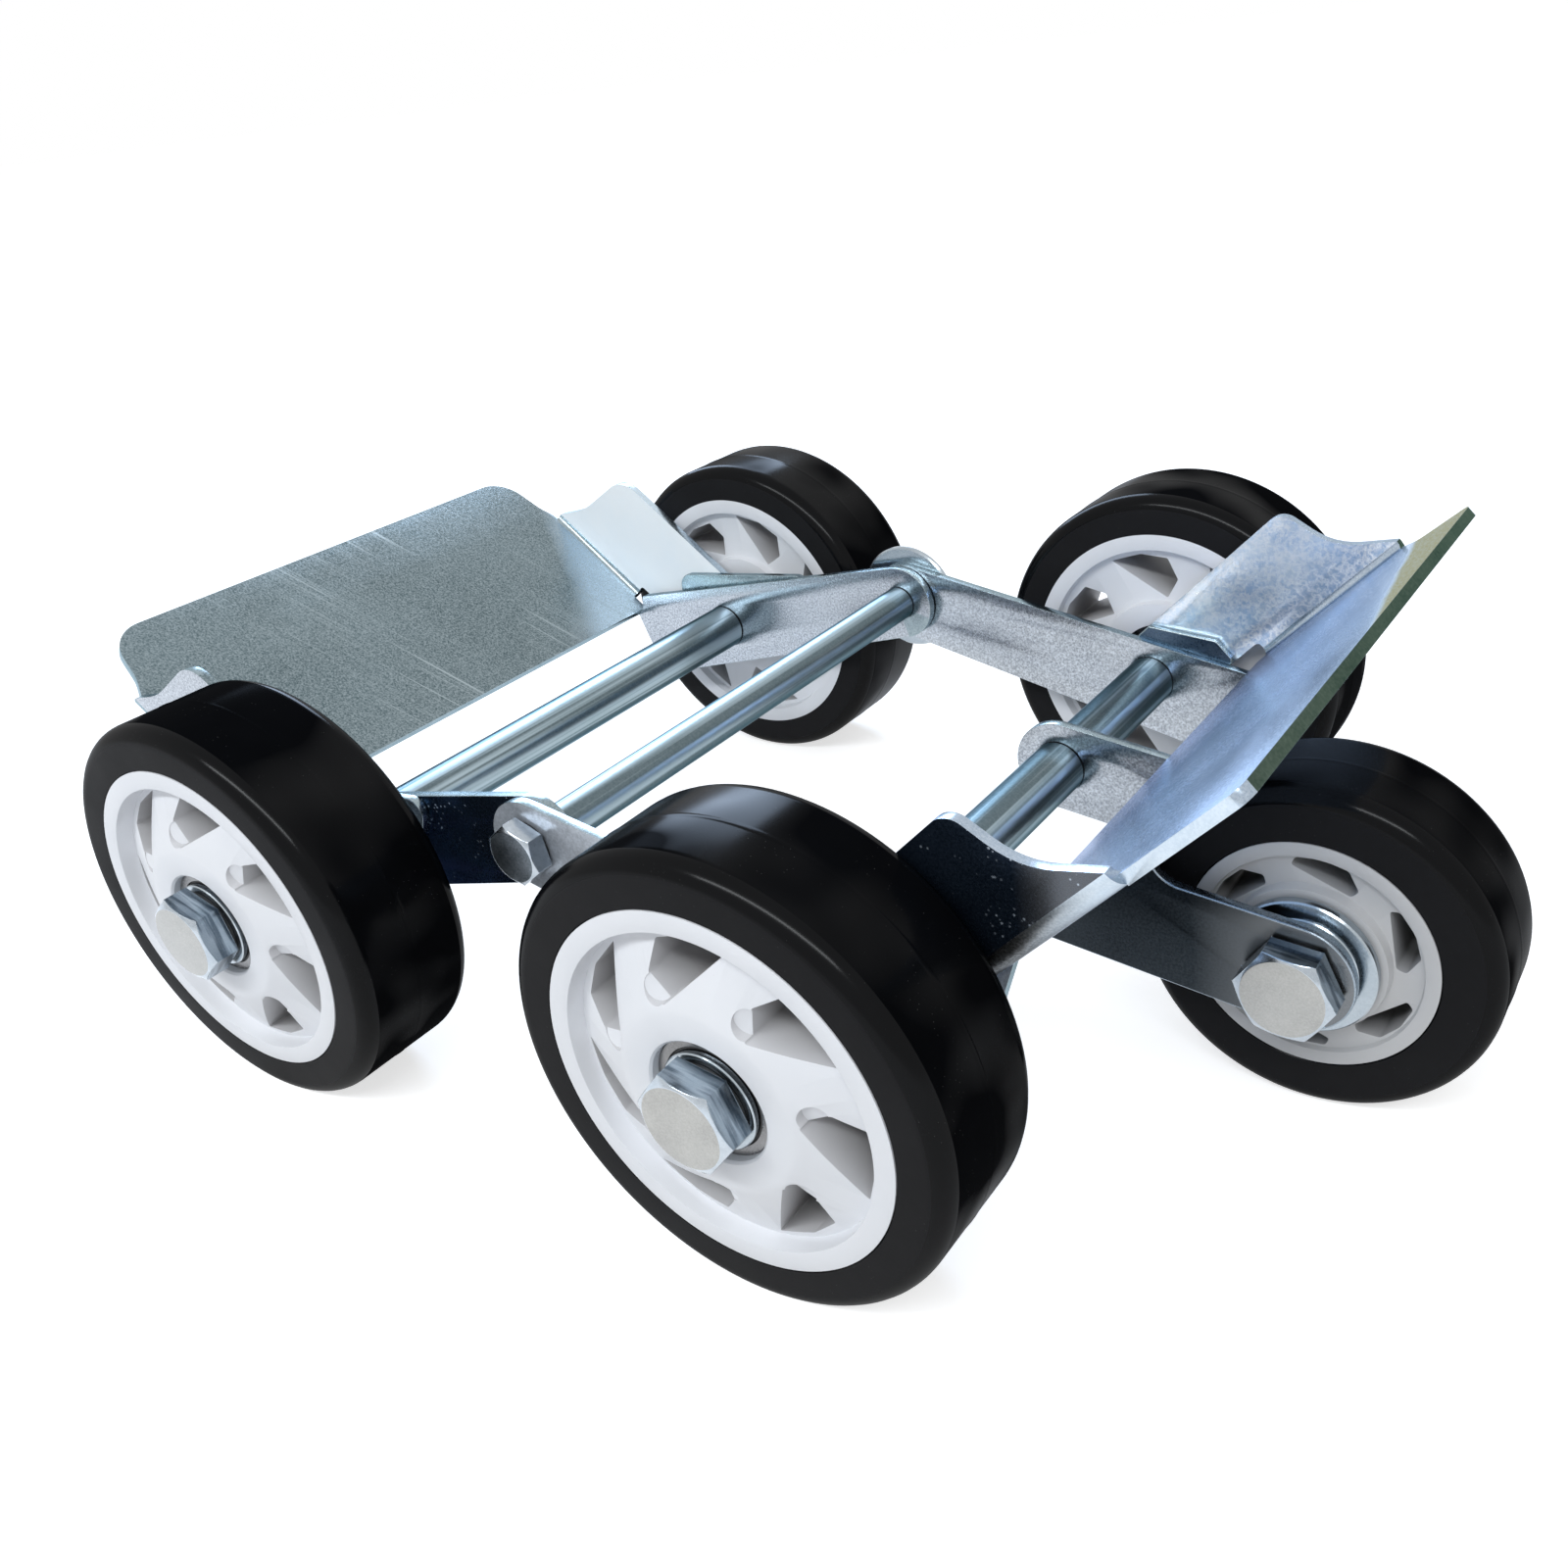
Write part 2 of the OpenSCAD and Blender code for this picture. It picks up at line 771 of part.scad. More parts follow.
module fifth_inner_rings() {
    color(steel) {
        inner_ring(fifth_x, fifth_z, fifth_race_front);
        inner_ring(fifth_x, fifth_z, fifth_race_back - bearing_w);
        ring(fifth_x, fifth_z, sleeve_r, axle_d / 2 + bolt_clear,
             fifth_race_front + bearing_w, fifth_race_back - bearing_w);
    }
}

// A main wheel's own frame: Z along its axle from the inner face outwards.
// Wheels 1 and 3 are in front, 2 and 4 behind; 1 and 2 are left, 3 and 4 right.
module at_wheel(n) {
    x = n < 3 ? left_x : right_x;
    front = n % 2 == 1;
    translate([x, front ? -wheel_face : wheel_face, axle_z])
        rotate([front ? 90 : -90, 0, 0])
            rotate([0, 0, wheel_turns[n - 1]])
                children();
}

// The fifth wheel's own frame: Z along its axle towards the front
module at_fifth() {
    translate([fifth_x, fifth_face + fifth_w, fifth_z])
        rotate([90, 0, 0])
            rotate([0, 0, wheel_turns[4]])
                children();
}

// Solid tyre with rounded shoulders
module tyre(d, w, bore_d) {
    outline = rounded([
        [bore_d / 2, 0, 0],
        [d / 2, 0, shoulder_r],
        [d / 2, w, shoulder_r],
        [bore_d / 2, w, 0]
    ]);
    color(rubber)
        rotate_extrude()
            polygon(outline);
}

// Windows cut straight through a core of width w, between its hub and its rim ring
module window_set(hub_r, rim_r, count, corners, w) {
    for (k = [0:count - 1])
        rotate([0, 0, 360 * k / count])
            translate([0, 0, -w])
                linear_extrude(height = 3 * w)
                    polygon([
                        for (c = corners)
                            (hub_r + (rim_r - hub_r) * c[0]) * [cos(c[1]), sin(c[1])]
                    ]);
}

// Moulded core of a main wheel
module core() {
    rim_in = core_d / 2 - rim_ring;
    far = wheel_w + hub_proud;
    color(plastic)
        difference() {
            rotate_extrude()
                polygon([
                    [sleeve_r + sleeve_clear, race_inset_in + bearing_w],
                    [bearing_d / 2, race_inset_in + bearing_w],
                    [bearing_d / 2, 0],
                    [hub_d / 2, 0],
                    [hub_d / 2, inner_recess],
                    [rim_in, inner_recess],
                    [rim_in, 0],
                    [core_d / 2, 0],
                    [core_d / 2, wheel_w],
                    [rim_in, wheel_w],
                    [rim_in, wheel_w - web_recess],
                    [hub_d / 2, wheel_w + hub_proud - core_chamfer],
                    [hub_d / 2 - core_chamfer, far],
                    [bearing_d / 2 + core_chamfer, far],
                    [bearing_d / 2, far - core_chamfer],
                    [bearing_d / 2, outer_race_low],
                    [sleeve_r + sleeve_clear, outer_race_low]
                ]);
            window_set(hub_d / 2, rim_in, windows, core_window, wheel_w);
        }
}

// Moulded core of the fifth wheel
module fifth_core() {
    rim_in = fifth_core_d / 2 - fifth_rim_ring;
    seat = fifth_w + fifth_hub_proud;
    color(plastic)
        difference() {
            rotate_extrude()
                polygon([
                    [sleeve_r + sleeve_clear, bearing_w - fifth_hub_proud],
                    [bearing_d / 2, bearing_w - fifth_hub_proud],
                    [bearing_d / 2, -fifth_hub_proud],
                    [fifth_hub_d / 2, -fifth_hub_proud],
                    [fifth_hub_d / 2, fifth_recess],
                    [rim_in, fifth_recess],
                    [rim_in, 0],
                    [fifth_core_d / 2, 0],
                    [fifth_core_d / 2, fifth_w],
                    [rim_in, fifth_w],
                    [rim_in, fifth_w - fifth_recess],
                    [fifth_hub_d / 2, fifth_w - fifth_recess],
                    [fifth_hub_d / 2, seat],
                    [bearing_d / 2, seat],
                    [bearing_d / 2, seat - bearing_w],
                    [sleeve_r + sleeve_clear, seat - bearing_w]
                ]);
            window_set(fifth_hub_d / 2, rim_in, fifth_windows, fifth_window, fifth_w);
        }
}

// Outer race of one bearing with its two shields, from z upwards
module outer_race(z) {
    translate([0, 0, z])
        rotate_extrude()
            polygon([
                [race_outer_r, 0],
                [bearing_d / 2, 0],
                [bearing_d / 2, bearing_w],
                [race_outer_r, bearing_w],
                [race_outer_r, bearing_w - shield_inset],
                [race_inner_r + shield_gap, bearing_w - shield_inset],
                [race_inner_r + shield_gap, bearing_w - shield_inset - shield_t],
                [race_outer_r, bearing_w - shield_inset - shield_t],
                [race_outer_r, shield_inset + shield_t],
                [race_inner_r + shield_gap, shield_inset + shield_t],
                [race_inner_r + shield_gap, shield_inset],
                [race_outer_r, shield_inset]
            ]);
}

// Ring that stands for a bearing's balls and cage
module ball_path(z) {
    translate([0, 0, z + bearing_w / 2])
        rotate_extrude()
            translate([ball_path_r, 0])
                circle(r = ball_r);
}

module wheel_bearings() {
    outer_race(race_inset_in);
    outer_race(outer_race_low);
}

module wheel_balls() {
    ball_path(race_inset_in);
    ball_path(outer_race_low);
}

module fifth_bearings() {
    outer_race(-fifth_hub_proud);
    outer_race(fifth_w + fifth_hub_proud - bearing_w);
}

module fifth_balls() {
    ball_path(-fifth_hub_proud);
    ball_path(fifth_w + fifth_hub_proud - bearing_w);
}

module tyre_1() {
    at_wheel(1) tyre(wheel_d, wheel_w, core_d);
}

module core_1() {
    at_wheel(1) core();
}

module bearings_1() {
    color(steel) at_wheel(1) wheel_bearings();
}

module balls_1() {
    color(steel) at_wheel(1) wheel_balls();
}

module tyre_2() {
    at_wheel(2) tyre(wheel_d, wheel_w, core_d);
}

module core_2() {
    at_wheel(2) core();
}

module bearings_2() {
    color(steel) at_wheel(2) wheel_bearings();
}

module balls_2() {
    color(steel) at_wheel(2) wheel_balls();
}

module tyre_3() {
    at_wheel(3) tyre(wheel_d, wheel_w, core_d);
}

module core_3() {
    at_wheel(3) core();
}

module bearings_3() {
    color(steel) at_wheel(3) wheel_bearings();
}

module balls_3() {
    color(steel) at_wheel(3) wheel_balls();
}

module tyre_4() {
    at_wheel(4) tyre(wheel_d, wheel_w, core_d);
}

module core_4() {
    at_wheel(4) core();
}

module bearings_4() {
    color(steel) at_wheel(4) wheel_bearings();
}

module balls_4() {
    color(steel) at_wheel(4) wheel_balls();
}

module tyre_5() {
    at_fifth() tyre(fifth_d, fifth_w, fifth_core_d);
}

module core_5() {
    at_fifth() fifth_core();
}

module bearings_5() {
    color(steel) at_fifth() fifth_bearings();
}

module balls_5() {
    color(steel) at_fifth() fifth_balls();
}

right_plate();
right_link_front();
right_link_back();
right_packing();
right_axle_tubes();
right_axle_bolt();
right_axle_nut();
right_washers();
right_spacers();
right_inner_rings();
arm_front();
arm_back();
fifth_bolt();
fifth_nut();
fifth_flange_spacer();
fifth_back_spacer();
fifth_inner_rings();
pivot_bolt();
pivot_nut();
pivot_washer();
left_plate();
left_link_front();
left_link_back();
left_packing();
left_axle_tube();
left_axle_bolt();
left_axle_nut();
left_washers();
left_spacers();
left_inner_rings();
pivot_tube();
tyre_1();
core_1();
bearings_1();
balls_1();
tyre_2();
core_2();
bearings_2();
balls_2();
tyre_3();
core_3();
bearings_3();
balls_3();
tyre_4();
core_4();
bearings_4();
balls_4();
tyre_5();
core_5();
bearings_5();
balls_5();
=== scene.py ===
import bpy
import math
from mathutils import Matrix, Vector


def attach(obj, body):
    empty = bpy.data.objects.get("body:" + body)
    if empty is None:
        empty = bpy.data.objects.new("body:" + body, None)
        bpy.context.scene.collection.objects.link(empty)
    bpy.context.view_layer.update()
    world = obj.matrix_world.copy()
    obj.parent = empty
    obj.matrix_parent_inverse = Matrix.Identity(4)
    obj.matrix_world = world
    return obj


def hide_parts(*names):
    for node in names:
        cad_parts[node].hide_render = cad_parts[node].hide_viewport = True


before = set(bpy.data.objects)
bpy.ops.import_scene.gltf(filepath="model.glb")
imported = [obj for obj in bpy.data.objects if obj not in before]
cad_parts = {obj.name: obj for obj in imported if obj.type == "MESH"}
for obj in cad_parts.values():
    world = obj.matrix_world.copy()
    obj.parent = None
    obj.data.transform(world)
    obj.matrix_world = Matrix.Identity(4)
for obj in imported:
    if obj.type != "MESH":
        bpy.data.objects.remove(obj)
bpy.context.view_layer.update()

# metres, Z up, +X from the shallow plate to the steep one, wheels in front lie towards -Y
axles = {
    "wheel_1": {"x": -0.14105, "y": -0.137, "z": 0.080, "turn": -11.5, "front": True},
    "wheel_2": {"x": -0.14105, "y": 0.137, "z": 0.080, "turn": 6.7, "front": False},
    "wheel_3": {"x": 0.10045, "y": -0.137, "z": 0.080, "turn": 3.5, "front": True},
    "wheel_4": {"x": 0.10045, "y": 0.137, "z": 0.080, "turn": -16.8, "front": False},
    "wheel_5": {"x": 0.22467, "y": 0.0136, "z": 0.0625, "turn": 22, "front": True},
}
pivot = {"x": -0.02745, "z": 0.105}


# the small moves that every piece uses
def dropAll():
    if bpy.context.object and bpy.context.object.mode != "OBJECT":
        bpy.ops.object.mode_set(mode="OBJECT")
    bpy.ops.object.select_all(action="DESELECT")


def pick(piece):
    dropAll()
    piece.select_set(True)
    bpy.context.view_layer.objects.active = piece


def nameNew(name):
    # names what was just made, and puts its place and turn into its mesh
    piece = bpy.context.object
    piece.name = piece.data.name = name
    bpy.ops.object.transform_apply()
    return piece


def barAlongY(name, sides, radius, length, place):
    # a bar with its ends filled, the start of bolt heads, nuts and pockets
    dropAll()
    bpy.ops.mesh.primitive_cylinder_add(vertices=sides, radius=radius, depth=length, location=place,
                                        end_fill_type="NGON", rotation=(math.pi / 2, 0, 0))
    return nameNew(name)


def takeAll():
    bpy.ops.mesh.select_all(action="SELECT")


def editAll(piece):
    pick(piece)
    bpy.ops.object.mode_set(mode="EDIT")
    bpy.ops.mesh.select_mode(type="VERT")
    takeAll()


def backOut():
    bpy.ops.object.mode_set(mode="OBJECT")


def faceOut():
    takeAll()
    bpy.ops.mesh.normals_make_consistent(inside=False)


def weld(nearest=0.000002):
    takeAll()
    bpy.ops.mesh.remove_doubles(threshold=nearest)


def drawLine(name, points):
    # one vertex, pulled from point to point
    dropAll()
    bpy.ops.mesh.primitive_plane_add(size=0.001, location=points[0])
    piece = nameNew(name)
    editAll(piece)
    bpy.ops.mesh.merge(type="CENTER")
    for a, b in zip(points, points[1:]):
        step = Vector(b) - Vector(a)
        bpy.ops.mesh.extrude_region_move(TRANSFORM_OT_translate={"value": step})
    backOut()
    return piece


def lathe(name, profile, steps=96):
    # profile as [radius, place along Y], spun round the Y axis; one that ends on the axis stays open
    points = [(r, y, 0) for r, y in profile]
    piece = drawLine(name, points if profile[-1][0] == 0 else points + points[:1])
    editAll(piece)
    bpy.ops.mesh.spin(steps=steps, angle=2 * math.pi, center=(0, 0, 0), axis=(0, 1, 0))
    weld()
    faceOut()
    backOut()
    return piece


def sleeve(name, outer, bore, soft, low, high):
    # a ring or a tube along Y, its outer edges cut off by soft
    return lathe(name, [(bore, low), (outer - soft, low), (outer, low + soft),
                        (outer, high - soft), (outer - soft, high), (bore, high)])


def soften(piece, width, segments=2, angle=35, edgeFinish=None):
    pick(piece)
    bevel = piece.modifiers.new("softEdges", "BEVEL")
    bevel.width = width
    bevel.segments = segments
    bevel.limit_method = "ANGLE"
    bevel.angle_limit = math.radians(angle)
    bevel.harden_normals = False
    if edgeFinish is not None:
        bevel.material = edgeFinish
    bpy.ops.object.modifier_apply(modifier=bevel.name)
    smooth(piece)


def smooth(piece, angle=32):
    pick(piece)
    bpy.ops.object.shade_smooth_by_angle(angle=math.radians(angle))
    dropAll()


def carve(piece, tool, how="DIFFERENCE"):
    pick(piece)
    cut = piece.modifiers.new("cut", "BOOLEAN")
    cut.operation = how
    cut.solver = "EXACT"
    cut.object = tool
    bpy.ops.object.modifier_apply(modifier=cut.name)
    bpy.data.objects.remove(tool)


def copyOf(piece, name):
    twin = piece.copy()
    twin.data = piece.data.copy()
    twin.name = twin.data.name = name
    bpy.context.scene.collection.objects.link(twin)
    return twin


def settle(piece, place):
    # move a piece that was made round the origin to its place, and leave its object at the origin
    pick(piece)
    piece.matrix_world = place
    bpy.ops.object.transform_apply()
    piece.data.update()
    dropAll()


def bound(piece, body, nodes=()):
    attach(piece, body)
    if nodes:
        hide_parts(*nodes)


def paint(piece, *finishes):
    piece.data.materials.clear()
    for finish in finishes:
        piece.data.materials.append(finish)


# finishes; zinc grain, scratches and dust are groups that the materials share
def newGroup(name, inputs, outputs):
    group = bpy.data.node_groups.new(name, "ShaderNodeTree")
    for label, kind, value in inputs:
        socket = group.interface.new_socket(label, in_out="INPUT", socket_type=kind)
        if value is not None:
            socket.default_value = value
    for label in outputs:
        group.interface.new_socket(label, in_out="OUTPUT", socket_type=number)
    return group, group.nodes.new("NodeGroupInput"), group.nodes.new("NodeGroupOutput")


number, vector = "NodeSocketFloat", "NodeSocketVector"


def feed(tree, socket, value):
    # a number or a colour is set on the socket itself, a node's output is linked to it
    if isinstance(value, (int, float)):
        socket.default_value = value
    elif isinstance(value, (tuple, list)):
        socket.default_value = (*value[:3], 1)
    else:
        tree.links.new(value, socket)


def mathNode(tree, how, a, b=None, clamp=False):
    node = tree.nodes.new("ShaderNodeMath")
    node.operation = how
    node.use_clamp = clamp
    feed(tree, node.inputs[0], a)
    if b is not None:
        feed(tree, node.inputs[1], b)
    return node.outputs[0]


def times(tree, a, b, clamp=False):
    return mathNode(tree, "MULTIPLY", a, b, clamp)


def rangeNode(tree, value, low, high, toLow=0.0, toHigh=1.0):
    node = tree.nodes.new("ShaderNodeMapRange")
    amounts = {"Value": value, "From Min": low, "From Max": high, "To Min": toLow, "To Max": toHigh}
    for label, amount in amounts.items():
        feed(tree, node.inputs[label], amount)
    return node.outputs["Result"]


def noiseNode(tree, where, scale, detail=3.0, roughness=0.6):
    node = tree.nodes.new("ShaderNodeTexNoise")
    tree.links.new(where, node.inputs["Vector"])
    for label, value in (("Scale", scale), ("Detail", detail), ("Roughness", roughness)):
        feed(tree, node.inputs[label], value)
    return node.outputs[0]


def stretchNode(tree, where, scale=(1, 1, 1), turn=(0, 0, 0)):
    node = tree.nodes.new("ShaderNodeMapping")
    tree.links.new(where, node.inputs["Vector"])
    node.inputs["Scale"].default_value = scale
    node.inputs["Rotation"].default_value = [math.radians(t) for t in turn]
    return node.outputs["Vector"]


def mixNode(tree, factor, a, b):
    node = tree.nodes.new("ShaderNodeMix")
    node.data_type = "RGBA"
    for place, value in ((0, factor), (6, a), (7, b)):
        feed(tree, node.inputs[place], value)
    return node.outputs[2]


def mixNumber(tree, factor, a, b):
    node = tree.nodes.new("ShaderNodeMix")
    for place, value in ((0, factor), (2, a), (3, b)):
        feed(tree, node.inputs[place], value)
    return node.outputs[0]


def buildSpangle():
    # fine grain, larger flakes and soft clouds of a zinc coat
    group, start, end = newGroup(
        "zincSpangle",
        [("Where", vector, None), ("Size", number, 1100.0), ("Flakes", number, 0.3),
         ("Clouds", number, 18.0)],
        ["Specks", "Patches", "Height"],
    )
    where, size, flakes, clouds = start.outputs[:4]
    fine = noiseNode(group, where, size, 2.5, 0.65)
    wide = noiseNode(group, where, times(group, size, 0.36), 3.0, 0.7)
    worms = mathNode(group, "ABSOLUTE", mathNode(group, "SUBTRACT", wide, 0.5))
    worms = rangeNode(group, worms, 0.0, 0.09, 1.0, 0.0)
    grain = rangeNode(group, fine, 0.36, 0.66)
    specks = mixNumber(group, times(group, flakes, 0.8), grain, worms)
    patches = rangeNode(group, noiseNode(group, where, clouds, 4.0, 0.62), 0.3, 0.7)
    group.links.new(specks, end.inputs[0])
    group.links.new(patches, end.inputs[1])
    group.links.new(mixNumber(group, flakes, fine, wide), end.inputs[2])
    return group


def buildScratches():
    # sparse straight marks along the first axis
    group, start, end = newGroup(
        "scratchLines",
        [("Where", vector, None), ("Length", number, 9.0), ("Finest", number, 900.0),
         ("Amount", number, 0.5), ("Rarity", number, 0.63)],
        ["Lines"],
    )
    where, length, finest, amount, rare = start.outputs[:5]
    scale = group.nodes.new("ShaderNodeCombineXYZ")
    for socket, value in zip(scale.inputs, (length, finest, length)):
        group.links.new(value, socket)
    stretched = group.nodes.new("ShaderNodeVectorMath")
    stretched.operation = "MULTIPLY"
    group.links.new(where, stretched.inputs[0])
    group.links.new(scale.outputs[0], stretched.inputs[1])
    marks = noiseNode(group, stretched.outputs[0], 1.0, 2.0, 0.4)
    fade = noiseNode(group, where, 14.0, 1.0, 0.5)
    lines = rangeNode(group, marks, rare, mathNode(group, "ADD", rare, 0.08))
    lines = times(group, lines, rangeNode(group, fade, 0.40, 0.62))
    group.links.new(times(group, lines, amount, clamp=True), end.inputs[0])
    return group


def buildDust():
    # loose specks of dust and a thin film in patches
    group, start, end = newGroup(
        "dust",
        [("Where", vector, None), ("Specks", number, 700.0), ("Amount", number, 0.5),
         ("Radius", number, 0.1)],
        ["Dots", "Film"],
    )
    where, specks, amount, radius = start.outputs[:4]
    cells = group.nodes.new("ShaderNodeTexVoronoi")
    group.links.new(where, cells.inputs["Vector"])
    group.links.new(specks, cells.inputs["Scale"])
    dots = rangeNode(group, cells.outputs["Distance"], radius, times(group, radius, 0.5))
    rare = noiseNode(group, where, 60.0, 2.0)
    dots = times(group, dots, rangeNode(group, rare, 0.52, 0.6))
    group.links.new(times(group, dots, amount, clamp=True), end.inputs[0])
    film = rangeNode(group, noiseNode(group, where, 25.0, 4.0), 0.4, 0.75)
    group.links.new(times(group, film, amount, clamp=True), end.inputs[1])
    return group


spangleGroup = buildSpangle()
scratchGroup = buildScratches()
dustGroup = buildDust()


def newFinish(name, **plain):
    finish = bpy.data.materials.new(name)
    finish.use_nodes = True
    tree = finish.node_tree
    shader = tree.nodes["Principled BSDF"]
    for label, value in plain.items():
        shader.inputs[label.replace("_", " ")].default_value = value
    where = tree.nodes.new("ShaderNodeTexCoord").outputs["Object"]
    return finish, tree, shader, where


def useGroup(tree, group, where, **values):
    node = tree.nodes.new("ShaderNodeGroup")
    node.node_tree = group
    tree.links.new(where, node.inputs["Where"])
    for label, value in values.items():
        node.inputs[label].default_value = value
    return node.outputs


def raiseGrain(tree, shader, height, strength, distance):
    bump = tree.nodes.new("ShaderNodeBump")
    bump.inputs["Strength"].default_value = strength
    bump.inputs["Distance"].default_value = distance
    tree.links.new(height, bump.inputs["Height"])
    tree.links.new(bump.outputs[0], shader.inputs["Normal"])


# what a zinc coat has where its own look says nothing else; a scratch is (amount, fineness, rarity)
plainZinc = {
    "metal": 1.0, "grazing": (1, 1, 1), "size": 1000.0, "flakes": 0.1, "clouds": 30.0, "rough": (0.20, 0.28),
    "bump": 0.05, "speckle": 0.15, "scratches": [], "scratchTurn": (0, 0, 0), "tints": [],
    "speckRough": 0.06, "tintWaves": 20.0, "dotRadius": 0.26, "grainDepth": 0.0002,
}


def zincFinish(name, ownLook):
    look = {**plainZinc, **ownLook}
    finish, tree, shader, where = newFinish(
        name, Metallic=look["metal"], IOR=1.45, Specular_Tint=(*look["grazing"], 1))
    specks, patches, height = useGroup(
        tree, spangleGroup, where, Size=look["size"], Clouds=look["clouds"], Flakes=look["flakes"])
    tone = mixNode(tree, patches, look["dark"], look["light"])
    rougher = []
    for tint in look["tints"]:
        # a soft change of tone along one way through the sheet; looks use it for real tone and for painted
        # highlights and painted shade
        way = tree.nodes.new("ShaderNodeVectorMath")
        way.operation = "DOT_PRODUCT"
        tree.links.new(where, way.inputs[0])
        way.inputs[1].default_value = tint["way"]
        waver = mathNode(tree, "SUBTRACT", noiseNode(tree, where, look["tintWaves"]), 0.5)
        along = mathNode(tree, "ADD", way.outputs["Value"], times(tree, waver, tint["waver"]))
        band = rangeNode(tree, along, tint["from"], tint["to"])
        tone = mixNode(tree, times(tree, band, tint["much"]), tone, tint["shade"])
        if "metal" in tint:
            tree.links.new(rangeNode(tree, band, 0.0, 1.0, 1.0, tint["metal"]), shader.inputs["Metallic"])
        if "rough" in tint:
            rougher.append((band, tint["rough"]))
    if "streaks" in look:
        # dark streaks: partly drawing marks that run along the tube, partly painted reflection of dark
        # surroundings
        streak = look["streaks"]
        drawn = noiseNode(tree, stretchNode(tree, where, scale=streak["scale"]), 1.0, 2.0, 0.5)
        band = rangeNode(tree, drawn, streak["from"], streak["to"])
        tone = mixNode(tree, times(tree, band, streak["much"]), tone, streak["shade"])
    tone = mixNode(tree, times(tree, specks, look["speckle"]), tone, look["spark"])
    alongMarks = stretchNode(tree, where, turn=look["scratchTurn"])
    for amount, finest, rarity in look["scratches"]:
        lines = useGroup(tree, scratchGroup, alongMarks, Amount=amount, Finest=finest, Rarity=rarity)[0]
        tone = mixNode(tree, lines, tone, look["spark"])
    if "dots" in look:
        spatter = look["dots"]
        dots = useGroup(tree, dustGroup, where, Specks=spatter["size"], Amount=1.0,
                        Radius=look["dotRadius"])[0]
        tone = mixNode(tree, times(tree, dots, spatter["much"]), tone, spatter["shade"])
    tree.links.new(tone, shader.inputs["Base Color"])
    roughness = rangeNode(tree, patches, 0.0, 1.0, *look["rough"])
    roughness = mathNode(tree, "ADD", roughness, times(tree, specks, look["speckRough"]))
    for band, amount in rougher:
        roughness = mixNumber(tree, band, roughness, amount)
    tree.links.new(roughness, shader.inputs["Roughness"])
    raiseGrain(tree, shader, height, look["bump"], look["grainDepth"])
    return finish


def hairlines(amount, finest=700.0, rarity=0.63):
    return [(amount, finest, rarity)]


